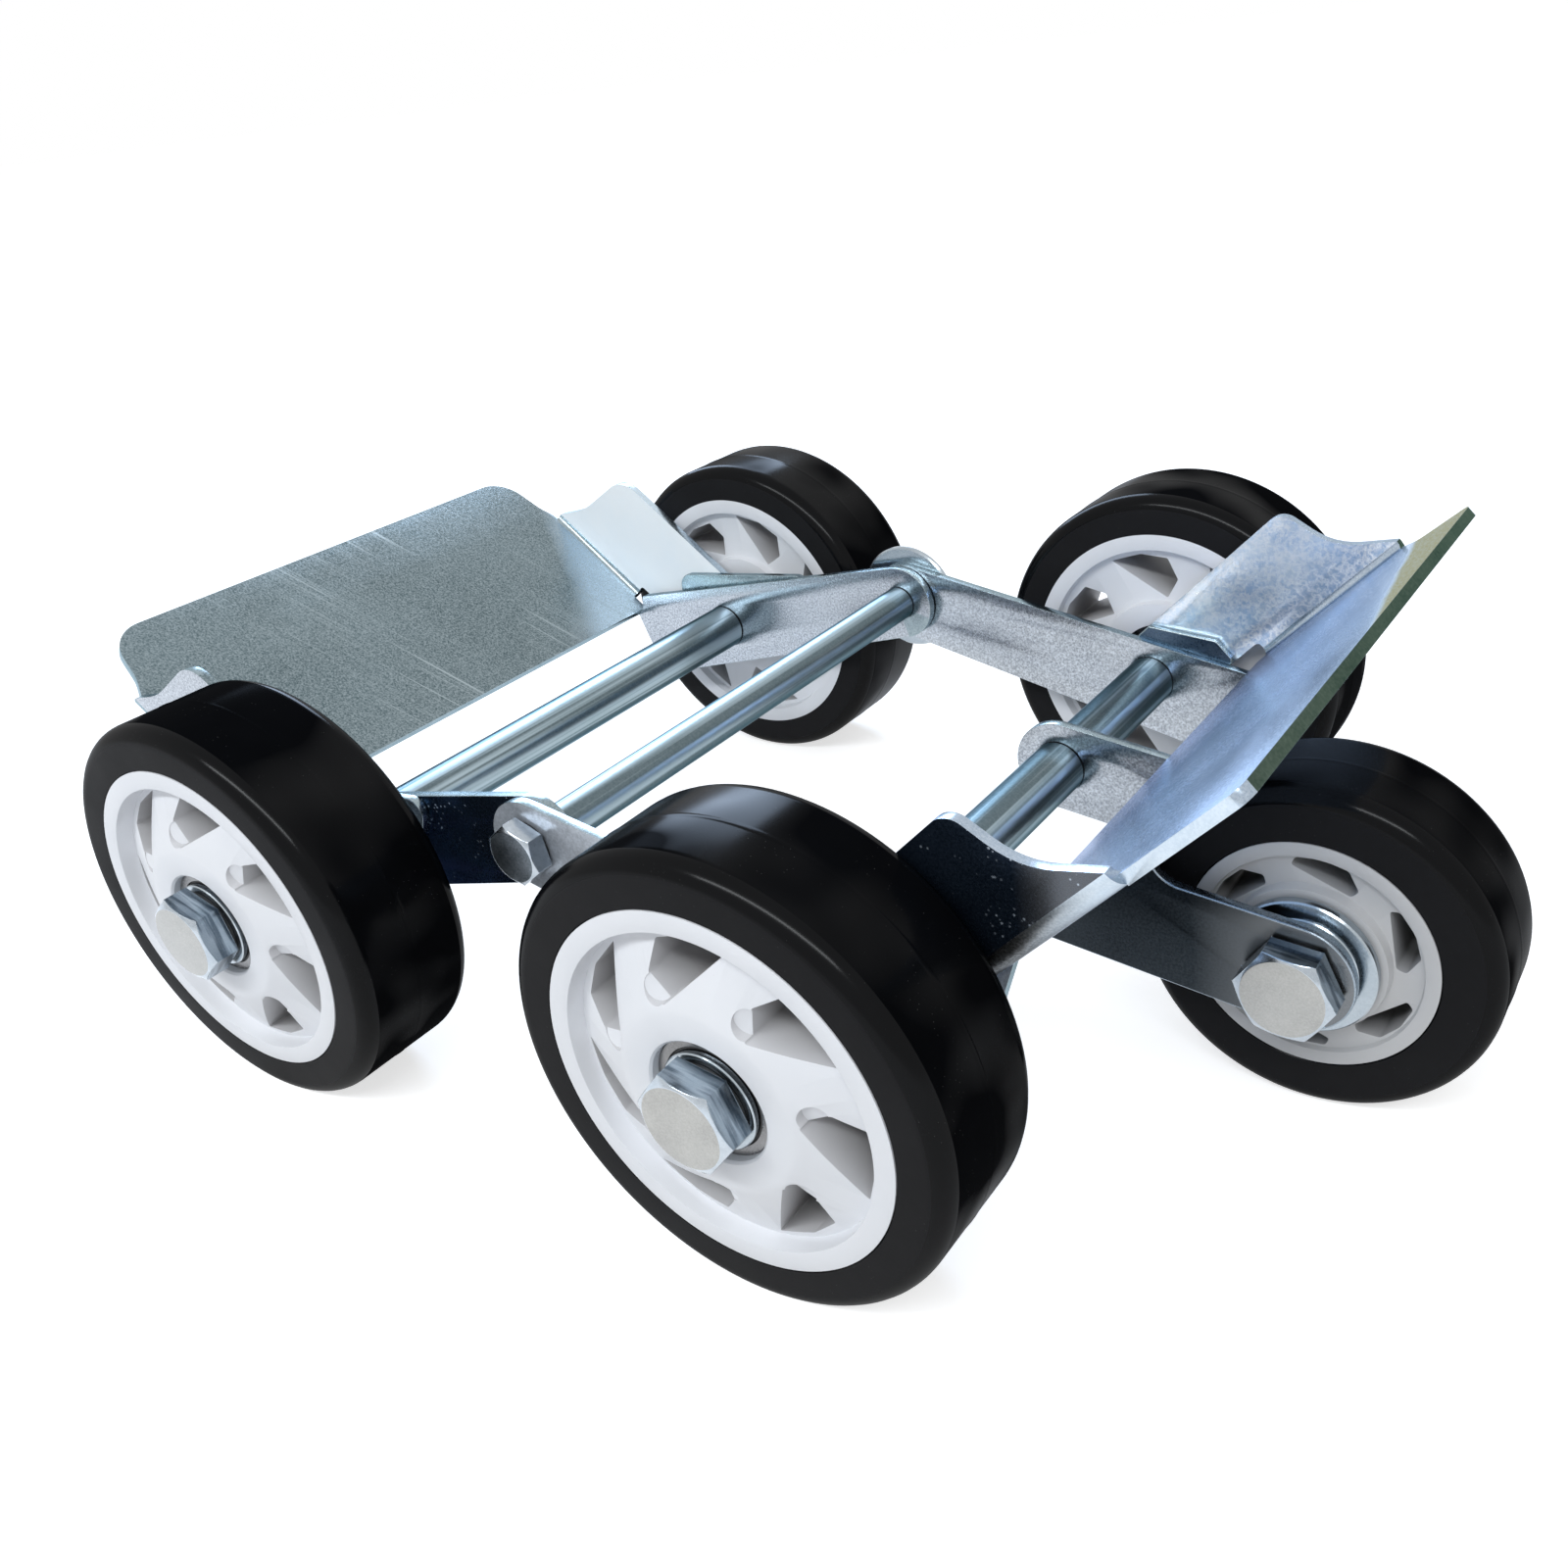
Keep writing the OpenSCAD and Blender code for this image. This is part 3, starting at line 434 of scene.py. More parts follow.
cutEdgeLook = {"speckle": 0.25, "size": 1200.0, "clouds": 60.0, "scratches": hairlines(0.1)}
smallSteelLook = {"size": 1500.0, "clouds": 110.0, "bump": 0.03}
zincLooks = {
    "leftPlateZinc": {
        "dark": (0.060, 0.094, 0.106), "light": (0.110, 0.156, 0.174), "spark": (0.38, 0.45, 0.48),
        "speckle": 0.75, "size": 1150.0, "flakes": 0.2, "clouds": 16.0,
        "scratches": [(1.0, 700.0, 0.64), (0.9, 1100.0, 0.65), (0.4, 1500.0, 0.575)],
        "scratchTurn": (0, 0, -26), "rough": (0.21, 0.28), "bump": 0.2, "tints": [
            # both tints are a painted reflection: a bright patch towards the plate's inner back corner
            {"way": (0.583, 0.813, 0), "from": -0.055, "to": -0.044, "waver": 0.014, "much": 0.9,
             "shade": (0.42, 0.56, 0.70)},
            {"way": (0.80, 0.6, 0), "from": -0.125, "to": -0.095, "waver": 0.01, "much": 0.85,
             "shade": (0.72, 0.84, 0.94)},
        ],
    },
    # near white and not metallic: a painted reflection of bright surroundings on the zinc wing
    "leftWingPaintedReflection": {
        "dark": (0.88, 0.95, 1.0), "light": (0.94, 0.98, 1.0), "spark": (0.96, 0.98, 1.0), "metal": 0.0,
        "speckle": 0.2, "size": 1100.0, "clouds": 26.0, "scratches": hairlines(0.2),
        "rough": (0.30, 0.38), "bump": 0.06,
    },
    "rightPlateZinc": {
        "dark": (0.36, 0.49, 0.69), "light": (0.46, 0.59, 0.80), "spark": (0.66, 0.77, 0.92),
        "grazing": (0.74, 0.82, 0.92), "speckle": 0.3, "size": 1100.0, "clouds": 12.0,
        "rough": (0.20, 0.27), "bump": 0.012, "tints": [
            {"way": (0.725, 0.0, 0.688), "from": 0.225, "to": 0.180, "waver": 0.03, "much": 0.6,
             "shade": (0.54, 0.53, 0.76)},
            # a darker band before the tip is painted shade
            {"way": (0.725, 0.25, 0.688), "from": 0.258, "to": 0.290, "waver": 0.01, "much": 0.55,
             "shade": (0.05, 0.08, 0.10)},
            {"way": (0.725, 0.25, 0.688), "from": 0.290, "to": 0.294, "waver": 0.008, "much": 1.0,
             "shade": (0.235, 0.205, 0.05), "metal": 0.0, "rough": 0.85},
        ],
    },
    "rightEdgeZinc": {
        "dark": (0.035, 0.055, 0.045), "light": (0.07, 0.10, 0.08), "spark": (0.22, 0.27, 0.22),
        "grazing": (0.5, 0.6, 0.55), "speckle": 0.2, "size": 900.0, "clouds": 40.0,
        "scratches": hairlines(0.2), "rough": (0.26, 0.36), "bump": 0.08,
    },
    "wingZinc": {
        "dark": (0.42, 0.60, 0.86), "light": (0.90, 0.97, 1.0), "spark": (1.0, 1.0, 1.0), "metal": 0.7,
        "speckle": 0.8, "flakes": 0.75, "size": 620.0, "scratches": hairlines(0.2),
        "rough": (0.16, 0.24), "bump": 0.7, "tints": [
            # darker towards the bend: painted shade
            {"way": (-0.688, 0, 0.725), "from": -0.010, "to": -0.030, "waver": 0.022, "much": 0.6,
             "shade": (0.12, 0.22, 0.40)},
        ],
    },
    # near-black front outer faces: painted shade and painted reflection of the tyres, lighter towards +X;
    # its bright dots are painted glints
    "paintedShadeZinc": {
        "dark": (0.008, 0.015, 0.028), "light": (0.018, 0.030, 0.052), "spark": (0.16, 0.21, 0.28),
        "metal": 0.85, "grazing": (0.2, 0.3, 0.45), "speckle": 0.12, "clouds": 26.0,
        "scratches": hairlines(0.2), "scratchTurn": (0, 20, 0), "bump": 0.08,
        "dots": {"size": 480.0, "much": 1.0, "shade": (0.75, 0.86, 1.0)}, "tints": [
            {"way": (1, 0, 0), "from": 0.178, "to": 0.186, "waver": 0.004, "much": 0.9,
             "shade": (0.11, 0.115, 0.125)},
        ],
    },
    "linkZinc": {
        "dark": (0.21, 0.23, 0.26), "light": (0.30, 0.325, 0.36), "spark": (0.72, 0.77, 0.83),
        "speckle": 0.65, "flakes": 0.2, "size": 1050.0, "clouds": 20.0, "scratches": hairlines(0.3),
        "scratchTurn": (0, 20, 0), "rough": (0.15, 0.24), "bump": 0.14,
    },
    # near black with a lighter end towards +X: painted reflection of dark surroundings on the front arm
    "armPaintedReflectionZinc": {
        "dark": (0.010, 0.014, 0.018), "light": (0.020, 0.026, 0.031), "spark": (0.12, 0.14, 0.16),
        "clouds": 22.0, "scratches": hairlines(0.2, 1200.0, 0.64), "scratchTurn": (0, 20, 0),
        "rough": (0.24, 0.32), "bump": 0.10, "tints": [
            {"way": (1, 0, 0), "from": 0.188, "to": 0.228, "waver": 0.01, "much": 0.9,
             "shade": (0.19, 0.20, 0.21)},
        ],
    },
    # dark blue face: painted shade in the slot between wing and link
    "packingPaintedShadeZinc": {
        "dark": (0.045, 0.075, 0.12), "light": (0.08, 0.12, 0.18), "spark": (0.35, 0.45, 0.55),
        "size": 1300.0, "scratches": hairlines(0.1), "rough": (0.22, 0.30), "bump": 0.08,
    },
    "cutEdge": {
        **cutEdgeLook, "dark": (0.21, 0.27, 0.29), "light": (0.32, 0.39, 0.42), "spark": (0.66, 0.73, 0.78),
        "grazing": (0.6, 0.7, 0.75), "rough": (0.18, 0.26),
    },
    "brightEdge": {
        **cutEdgeLook, "dark": (0.30, 0.37, 0.45), "light": (0.42, 0.50, 0.60), "spark": (0.80, 0.86, 0.92),
        "grazing": (0.7, 0.8, 0.9), "rough": (0.18, 0.26),
    },
    "foldZinc": {
        **cutEdgeLook, "dark": (0.40, 0.48, 0.56), "light": (0.54, 0.62, 0.70), "spark": (0.85, 0.90, 0.94),
        "grazing": (0.5, 0.52, 0.54), "scratches": [], "rough": (0.24, 0.32), "tints": [
            # darker towards -X: painted shade on the fold beside the wheel
            {"way": (1, 0, 0), "from": 0.203, "to": 0.178, "waver": 0.006, "much": 0.92,
             "shade": (0.075, 0.068, 0.06)},
        ],
    },
    "armEdge": {
        **cutEdgeLook, "dark": (0.20, 0.25, 0.30), "light": (0.30, 0.36, 0.42), "spark": (0.60, 0.66, 0.72),
    },
    "pivotLinkZinc": {
        "dark": (0.30, 0.33, 0.37), "light": (0.42, 0.45, 0.50), "spark": (0.70, 0.75, 0.82), "metal": 0.5,
        "speckle": 0.5, "flakes": 0.3, "clouds": 24.0, "scratches": hairlines(0.3),
        "scratchTurn": (0, 20, 0), "rough": (0.28, 0.38), "bump": 0.12,
    },
    "tubeSteel": {
        "dark": (0.31, 0.40, 0.44), "light": (0.44, 0.54, 0.60), "spark": (0.62, 0.70, 0.76),
        "grazing": (0.30, 0.38, 0.42), "speckle": 0.08, "size": 900.0, "clouds": 8.0,
        "scratches": hairlines(0.15), "scratchTurn": (0, 0, 90), "rough": (0.27, 0.33), "bump": 0.01,
        "streaks": {"scale": (260, 2.0, 260), "from": 0.44, "to": 0.56, "much": 0.85,
                    "shade": (0.065, 0.095, 0.105)},
    },
    "boltSteel": {
        "dark": (0.32, 0.40, 0.47), "light": (0.46, 0.54, 0.61), "spark": (0.78, 0.84, 0.90),
        "speckle": 0.08, "size": 1300.0, "clouds": 70.0, "rough": (0.12, 0.18), "bump": 0.02,
        "streaks": {"scale": (45, 420, 45), "from": 0.46, "to": 0.60, "much": 0.8,
                    "shade": (0.045, 0.075, 0.11)},
    },
    "boltFace": {
        "dark": (0.31, 0.31, 0.30), "light": (0.40, 0.40, 0.385), "spark": (0.62, 0.62, 0.61),
        "speckle": 0.3, "size": 1500.0, "clouds": 80.0, "rough": (0.30, 0.38), "bump": 0.06,
    },
    "pivotFace": {
        **smallSteelLook, "dark": (0.11, 0.135, 0.16), "light": (0.19, 0.22, 0.25),
        "spark": (0.45, 0.50, 0.55), "speckle": 0.35, "rough": (0.26, 0.36), "bump": 0.08,
    },
    "boltBright": {
        **smallSteelLook, "dark": (0.33, 0.38, 0.43), "light": (0.50, 0.55, 0.60),
        "spark": (0.80, 0.84, 0.88), "speckle": 0.1, "rough": (0.12, 0.2),
    },
    "washerSteel": {
        **smallSteelLook, "dark": (0.30, 0.35, 0.39), "light": (0.42, 0.47, 0.51),
        "spark": (0.70, 0.74, 0.78), "size": 1400.0, "clouds": 50.0, "scratches": hairlines(0.2),
        "rough": (0.12, 0.2),
    },
    "bearingSteel": {
        **smallSteelLook, "dark": (0.13, 0.13, 0.135), "light": (0.24, 0.24, 0.245),
        "spark": (0.5, 0.5, 0.5), "size": 1600.0, "clouds": 90.0, "rough": (0.22, 0.32),
    },
    # near black: dark joints at tube ends, and painted shade under bolt heads and on bearing shields
    "darkJointAndPaintedShade": {
        **smallSteelLook, "dark": (0.012, 0.012, 0.013), "light": (0.025, 0.025, 0.026),
        "spark": (0.10, 0.10, 0.10), "metal": 0.3, "size": 1300.0, "clouds": 90.0, "rough": (0.35, 0.5),
    },
}
zincLooks["underZinc"] = {**zincLooks["rightPlateZinc"], "tints": []}  # the same sheet from below
finishes = {name: zincFinish(name, look) for name, look in zincLooks.items()}


# shades that tyres and cores share: soft clouds, a film of dust over them, then loose specks
def dustyTone(tree, where, look):
    dots, film = useGroup(tree, dustGroup, where, Specks=look["specks"], Amount=look["dust"])
    tone = mixNode(tree, noiseNode(tree, where, look["clouds"]), look["dark"], look["light"])
    tone = mixNode(tree, times(tree, film, look["filmMuch"]), tone, look["film"])
    return mixNode(tree, times(tree, dots, look["speckMuch"]), tone, look["speckShade"])


def waveRoughness(tree, shader, where, look):
    waver = noiseNode(tree, where, look["waves"])
    tree.links.new(rangeNode(tree, waver, 0.3, 0.7, *look["rough"]), shader.inputs["Roughness"])


plainRubber = {
    "dark": (0.0016, 0.0018, 0.0023), "light": (0.003, 0.0032, 0.0038), "film": (0.008, 0.009, 0.012),
    "clouds": 35.0, "specks": 620.0, "dust": 0.4, "filmMuch": 0.25, "speckMuch": 0.4,
    "speckShade": (0.30, 0.30, 0.29), "waves": 18.0, "rough": (0.20, 0.32), "shine": 0.0,
    "grain": 26.0, "grainDepth": 0.0006,
}
rubberLooks = {
    "treadRubber": {"dust": 0.5, "coat": 0.06, "coatRough": 0.16, "bump": 0.5,
                    "polish": {"scale": 15.0, "from": 0.46, "to": 0.64, "coat": (0.01, 0.26)}},
    "shoulderRubber": {"coat": 0.2, "coatRough": 0.17, "bump": 0.4},
    "sideRubber": {"dark": (0.011, 0.011, 0.012), "light": (0.016, 0.016, 0.017),
                   "film": (0.026, 0.026, 0.028), "shine": 0.03, "coat": 0.0, "coatRough": 0.3,
                   "rough": (0.42, 0.55), "grain": 900.0, "bump": 0.06},
}


def rubberFinish(name, ownLook):
    look = {**plainRubber, **ownLook}
    finish, tree, shader, where = newFinish(
        name, Metallic=0.0, IOR=1.5, Specular_IOR_Level=look["shine"], Coat_Weight=look["coat"],
        Coat_Roughness=look["coatRough"])
    tree.links.new(dustyTone(tree, where, look), shader.inputs["Base Color"])
    waveRoughness(tree, shader, where, look)
    if "polish" in look:
        # patches that rolling has rubbed smooth
        polish = look["polish"]
        rubbed = noiseNode(tree, where, polish["scale"], 2.0, 0.5)
        coat = rangeNode(tree, rubbed, polish["from"], polish["to"], *polish["coat"])
        tree.links.new(coat, shader.inputs["Coat Weight"])
    raiseGrain(tree, shader, noiseNode(tree, where, look["grain"]), look["bump"], look["grainDepth"])
    return finish


for name, look in rubberLooks.items():
    finishes[name] = rubberFinish(name, look)


def plasticFinish(name, ownLook):
    look = {**plainPlastic, **ownLook}
    finish, tree, shader, where = newFinish(name, Metallic=0.0, IOR=1.46, Specular_IOR_Level=0.4)
    tone = dustyTone(tree, where, look)
    if "deep" in look:
        # window walls are painted darker towards the middle of the wheel: painted shade
        deep = look["deep"]
        split = tree.nodes.new("ShaderNodeSeparateXYZ")
        tree.links.new(where, split.inputs[0])
        across = mathNode(tree, "ABSOLUTE", split.outputs["Y"]) if deep["both"] else split.outputs["Y"]
        away = mathNode(tree, "ABSOLUTE", mathNode(tree, "SUBTRACT", across, deep["middle"]))
        inside = rangeNode(tree, away, deep["half"], deep["half"] * look["deepest"])
        tone = mixNode(tree, times(tree, inside, deep["much"]), tone, deep["shade"])
    tree.links.new(tone, shader.inputs["Base Color"])
    waveRoughness(tree, shader, where, look)
    grain = noiseNode(tree, where, look["grain"], 2.0, 0.5)
    raiseGrain(tree, shader, grain, look["bump"], look["grainDepth"])
    return finish


plainPlastic = {
    "clouds": 26.0, "specks": 520.0, "dust": 0.5, "filmMuch": 0.22, "speckMuch": 0.35,
    "speckShade": (0.35, 0.34, 0.33), "waves": 30.0, "rough": (0.36, 0.52), "deepest": 0.35,
    "grain": 1400.0, "bump": 0.05, "grainDepth": 0.0002,
}
plasticLooks = {
    "whitePlastic": {"dark": (0.72, 0.735, 0.77), "light": (0.80, 0.81, 0.84), "film": (0.60, 0.59, 0.58)},
    "greyPlastic": {"dark": (0.54, 0.54, 0.545), "light": (0.63, 0.63, 0.635), "film": (0.44, 0.44, 0.44)},
    "whiteWindowPaintedShade": {
        "dark": (0.62, 0.62, 0.64), "light": (0.70, 0.70, 0.72), "film": (0.40, 0.38, 0.36),
        "deep": {"both": True, "middle": 0.162, "half": 0.026, "much": 0.7, "shade": (0.20, 0.19, 0.185)}},
    "greyWindowPaintedShade": {
        "dark": (0.46, 0.46, 0.47), "light": (0.54, 0.54, 0.55), "film": (0.30, 0.29, 0.28),
        "deep": {"both": False, "middle": -0.0084, "half": 0.023, "much": 0.9, "shade": (0.10, 0.10, 0.10)}},
}
for name, look in plasticLooks.items():
    finishes[name] = plasticFinish(name, look)
print("finishes ready:", len(finishes))


# wheels
def polar(radius, angle):
    return radius * math.cos(math.radians(angle)), radius * math.sin(math.radians(angle))


def arcPoints(cx, cy, radius, start, stop, count):
    corners = [polar(radius, start + (stop - start) * k / count) for k in range(count + 1)]
    return [(cx + x, cy + y) for x, y in corners]


tyreShape = {
    "shoulder": 0.007, "arc": 8, "lip": 0.0006, "steps": 144,
    "seamWide": 0.0007, "seamHigh": 0.00018, "seamFoot": 0.2,
    "flat": 0.97, "rubbed": 0.12,  # a face this far towards the side is flat, or a rubbed shoulder
}
mainTyre = {**tyreShape, "outer": 0.080, "bore": 0.063, "width": 0.050}
fifthTyre = {**tyreShape, "outer": 0.0625, "bore": 0.043, "width": 0.044}


def makeTyre(name, sizes):
    # outer face lies at Y = -width, inner face at Y = 0
    outer, bore, width = sizes["outer"], sizes["bore"], sizes["width"]
    r, mid, wide, lip = sizes["shoulder"], -width / 2, sizes["seamWide"], sizes["lip"]
    tread = outer - sizes["seamHigh"]  # only the mould's seam reaches the full radius
    foot = tread + sizes["seamHigh"] * sizes["seamFoot"]
    profile = [(bore, 0.0)]
    profile += arcPoints(tread - r, -r, r, 90, 0, sizes["arc"])
    profile += [(tread, mid + wide * 2), (foot, mid + wide), (outer, mid), (foot, mid - wide),
                (tread, mid - wide * 2)]
    profile += arcPoints(tread - r, -width + r, r, 0, -90, sizes["arc"])
    profile += [(bore + lip, -width), (bore, -width + lip)]
    tyre = lathe(name, profile, sizes["steps"])
    paint(tyre, finishes["treadRubber"], finishes["sideRubber"], finishes["shoulderRubber"])
    for face in tyre.data.polygons:  # flat sides are the matt ones, shoulders are rubbed
        lean = abs(face.normal.y)
        if lean > sizes["flat"]:
            face.material_index = 1
        elif lean > sizes["rubbed"] and abs(face.center.y - mid) > width / 2 - r:
            face.material_index = 2
    smooth(tyre, 30)
    return tyre


mainCore = {
    "rim": 0.063, "rimRing": 0.007, "hub": 0.031, "bore": 0.021, "inside": 0.0135,
    "width": 0.050, "proud": 0.0025, "recess": 0.0065, "innerRecess": 0.004,
    "raceOuter": 0.0125, "raceInner": 0.0135, "chamfer": 0.0008,
    "windows": 7, "corners": [(0.0330, 0), (0.0425, 6), (0.0515, -1), (0.0533, -15), (0.0538, -31)],
    "cornerRound": 0.0007, "cut": (0.01, -0.065), "edge": 0.00045, "steps": 126,
    "scoopAt": (0.0374, 0.0028), "scoopRound": 0.0046, "scoopTilt": 17, "scoopDeep": 0.0008,
    "scoopDepth": 0.036, "scoopBehind": 0.0067,
}
fifthCore = {
    "rim": 0.043, "rimRing": 0.005, "hub": 0.027, "bore": 0.021, "inside": 0.0135,
    "width": 0.044, "proud": 0.002, "recess": 0.002,
    "windows": 6, "corners": [(0.0283, -19), (0.0315, -21), (0.0365, -11), (0.0371, 3), (0.0367, 17),
                              (0.0340, 20)],
    "cornerRound": 0.0009, "cut": (0.01, -0.06), "edge": 0.0004, "steps": 120,
}


def copyRound(count):
    # in edit mode: what is selected is repeated round the wheel's axis
    bpy.ops.mesh.spin(steps=count - 1, angle=2 * math.pi * (count - 1) / count, dupli=True,
                      center=(0, 0, 0), axis=(0, 1, 0))


def windowTool(sizes):
    # outline of one window, drawn, filled, pulled through and copied round
    low, high = sizes["cut"]
    points = [(x, low, z) for x, z in (polar(*corner) for corner in sizes["corners"])]
    tool = drawLine("windowTool", points + points[:1])
    editAll(tool)
    weld()
    takeAll()
    bpy.ops.mesh.edge_face_add()
    bpy.ops.mesh.extrude_region_move(TRANSFORM_OT_translate={"value": (0, high - low, 0)})
    faceOut()
    # round the long edges that run through the wheel
    bpy.ops.mesh.select_mode(type="EDGE")
    bpy.ops.mesh.select_all(action="DESELECT")
    backOut()
    for edge in tool.data.edges:
        a, b = (tool.data.vertices[v].co for v in edge.vertices)
        edge.select = abs((a - b).y) > 0.5 * abs(high - low)
    bpy.ops.object.mode_set(mode="EDIT")
    bpy.ops.mesh.bevel(offset=sizes["cornerRound"], segments=3, affect="EDGES")
    takeAll()
    copyRound(sizes["windows"])
    backOut()
    return tool


def scoopTool(sizes):
    # short round pocket with a sloping floor beside each window's narrow end
    (x, z), r = sizes["scoopAt"], sizes["scoopRound"]
    face = -(sizes["width"] - sizes["recess"]) - sizes["scoopBehind"]
    tool = barAlongY("scoopTool", 40, r, sizes["scoopDepth"], (x, face, z))
    (lowX, lowZ), (highX, highZ) = (polar(*corner) for corner in sizes["corners"][:2])
    along = Vector((highX - lowX, 0, highZ - lowZ)).normalized()
    down = along.cross(Vector((0, 1, 0)))
    if down.z > 0:
        down = -down
    tilt = math.radians(sizes["scoopTilt"])
    normal = Vector((0, 1, 0)) * math.cos(tilt) - down * math.sin(tilt)
    start = Vector((x, face + sizes["scoopDeep"], z)) - down * r
    editAll(tool)
    bpy.ops.mesh.bisect(plane_co=start, plane_no=normal, use_fill=True, clear_outer=True)
    faceOut()
    takeAll()
    copyRound(sizes["windows"])
    backOut()
    return tool


def shadeWindows(core, s, rimIn, plain, inside):
    # the walls of the windows, which face neither side of the wheel, have their own darker finish with
    # painted shade
    paint(core, finishes[plain], finishes[inside])
    spare = 0.001
    for face in core.data.polygons:
        away = math.hypot(face.center.x, face.center.z)
        if abs(face.normal.y) < 0.6 and s["hub"] + spare < away < rimIn - spare:
            face.material_index = 1


def makeMainCore(name, s):
    rim, hub, bore, inside, width = (s[key] for key in ("rim", "hub", "bore", "inside", "width"))
    rimIn, far, c = rim - s["rimRing"], width + s["proud"], s["chamfer"]
    raceIn, raceOut, recess = -s["raceInner"], -(width - s["raceOuter"]), -s["innerRecess"]
    profile = [
        (inside, raceIn), (bore, raceIn), (bore, 0), (hub, 0), (hub + 0.0006, recess),
        (rimIn - 0.0008, recess), (rimIn, 0), (rim, 0), (rim, -width), (rimIn, -width),
        (rimIn - 0.0006, -(width - s["recess"])), (hub + 0.003, -(far - 0.0012)),
        (hub + 0.001, -(far - 0.0003)), (hub - 0.001, -far), (bore + c, -far), (bore, -(far - c)),
        (bore, raceOut), (inside, raceOut),
    ]
    core = lathe(name, profile, s["steps"])
    carve(core, windowTool(s))
    carve(core, scoopTool(s))
    shadeWindows(core, s, rimIn, "whitePlastic", "whiteWindowPaintedShade")
    soften(core, s["edge"], 2, 40)
    return core


def makeFifthCore(name, s):
    rim, hub, bore, inside, w = (s[key] for key in ("rim", "hub", "bore", "inside", "width"))
    rimIn, p, race, recess = rim - s["rimRing"], s["proud"], bearingSizes["width"], s["recess"]
    profile = [
        (inside, -(race - p)), (bore, -(race - p)), (bore, p), (hub, p), (hub + 0.0005, -recess),
        (rimIn - 0.0006, -recess), (rimIn, 0), (rim, 0), (rim, -w), (rimIn, -w),
        (rimIn - 0.0006, -(w - recess)), (hub + 0.0005, -(w - recess)), (hub, -(w + p)),
        (bore, -(w + p)), (bore, -(w + p - race)), (inside, -(w + p - race)),
    ]
    core = lathe(name, profile, s["steps"])
    carve(core, windowTool(s))
    shadeWindows(core, s, rimIn, "greyPlastic", "greyWindowPaintedShade")
    soften(core, s["edge"], 2, 40)
    return core


bearingSizes = {
    "outer": 0.021, "outerIn": 0.0177, "width": 0.012, "corner": 0.0005, "shieldIn": 0.0134,
    "shield": 0.0006, "inset": 0.0006, "mainAt": (-0.0135, -0.0495), "fifthAt": (-0.010, -0.046)}


def makeBearing(name, s, near):
    # outer race and pressed shields, each with a rolled rim and a stepped face; near is its front Y
    i, thick, c = s["inset"], s["shield"], s["corner"]
    a, b = near, near + s["width"]
    outer, outerIn, shieldIn = s["outer"], s["outerIn"], s["shieldIn"]
    profile = [
        (outer, a + c), (outer - c, a), (outerIn, a), (outerIn, a + i),
        (outerIn - 0.0008, a + i * 0.4), (outerIn - 0.0014, a + i), (shieldIn, a + i * 1.5),
        (shieldIn, a + i * 1.5 + thick), (outerIn, a + i * 1.5 + thick),
        (outerIn, b - i * 1.5 - thick), (shieldIn, b - i * 1.5 - thick), (shieldIn, b - i * 1.5),
        (outerIn - 0.0014, b - i), (outerIn - 0.0008, b - i * 0.4), (outerIn, b - i),
        (outerIn, b), (outer - c, b), (outer, b - c),
    ]
    bearing = lathe(name, profile, 72)
    paint(bearing, finishes["bearingSteel"], finishes["darkJointAndPaintedShade"])
    # the shields, inside the race, are painted near black: painted shade deep in the hub
    for face in bearing.data.polygons:
        if math.hypot(face.center.x, face.center.z) < outerIn:
            face.material_index = 1
    smooth(bearing, 30)
    return bearing


def makeBearings(name, places):
    return joinPieces(name, [makeBearing(f"race{k}", bearingSizes, near) for k, near in enumerate(places)])


def joinPieces(name, pieces):
    dropAll()
    for piece in pieces:
        piece.select_set(True)
    bpy.context.view_layer.objects.active = pieces[0]
    if len(pieces) > 1:
        bpy.ops.object.join()
    whole = bpy.context.object
    whole.name = whole.data.name = name
    dropAll()
    return whole


def wheelPlace(wheel):
    # the wheel's own Y axis points inwards, from its outer face to its inner one
    a = axles[wheel]
    turn = Matrix.Rotation(math.radians(-a["turn"]), 4, "Y")
    if not a["front"]:
        turn = Matrix.Rotation(math.pi, 4, "X") @ Matrix.Rotation(math.radians(a["turn"]), 4, "Y")
    return Matrix.Translation((a["x"], a["y"], a["z"])) @ turn


mainWheel = {"tyre": makeTyre("modelTyre", mainTyre), "core": makeMainCore("modelCore", mainCore),
             "bearings": makeBearings("modelBearings", bearingSizes["mainAt"])}
fifthWheel = {"tyre": makeTyre("fifthTyre", fifthTyre), "core": makeFifthCore("fifthCore", fifthCore),
              "bearings": makeBearings("fifthBearings", bearingSizes["fifthAt"])}
for wheel in axles:
    n = wheel[-1]
    for part, model in (fifthWheel if wheel == "wheel_5" else mainWheel).items():
        piece = copyOf(model, f"{part}{n}Fine")
        settle(piece, wheelPlace(wheel))
        bound(piece, wheel, [f"{part}_{n}"])
for model in (*mainWheel.values(), *fifthWheel.values()):
    bpy.data.objects.remove(model)
print("wheels done")


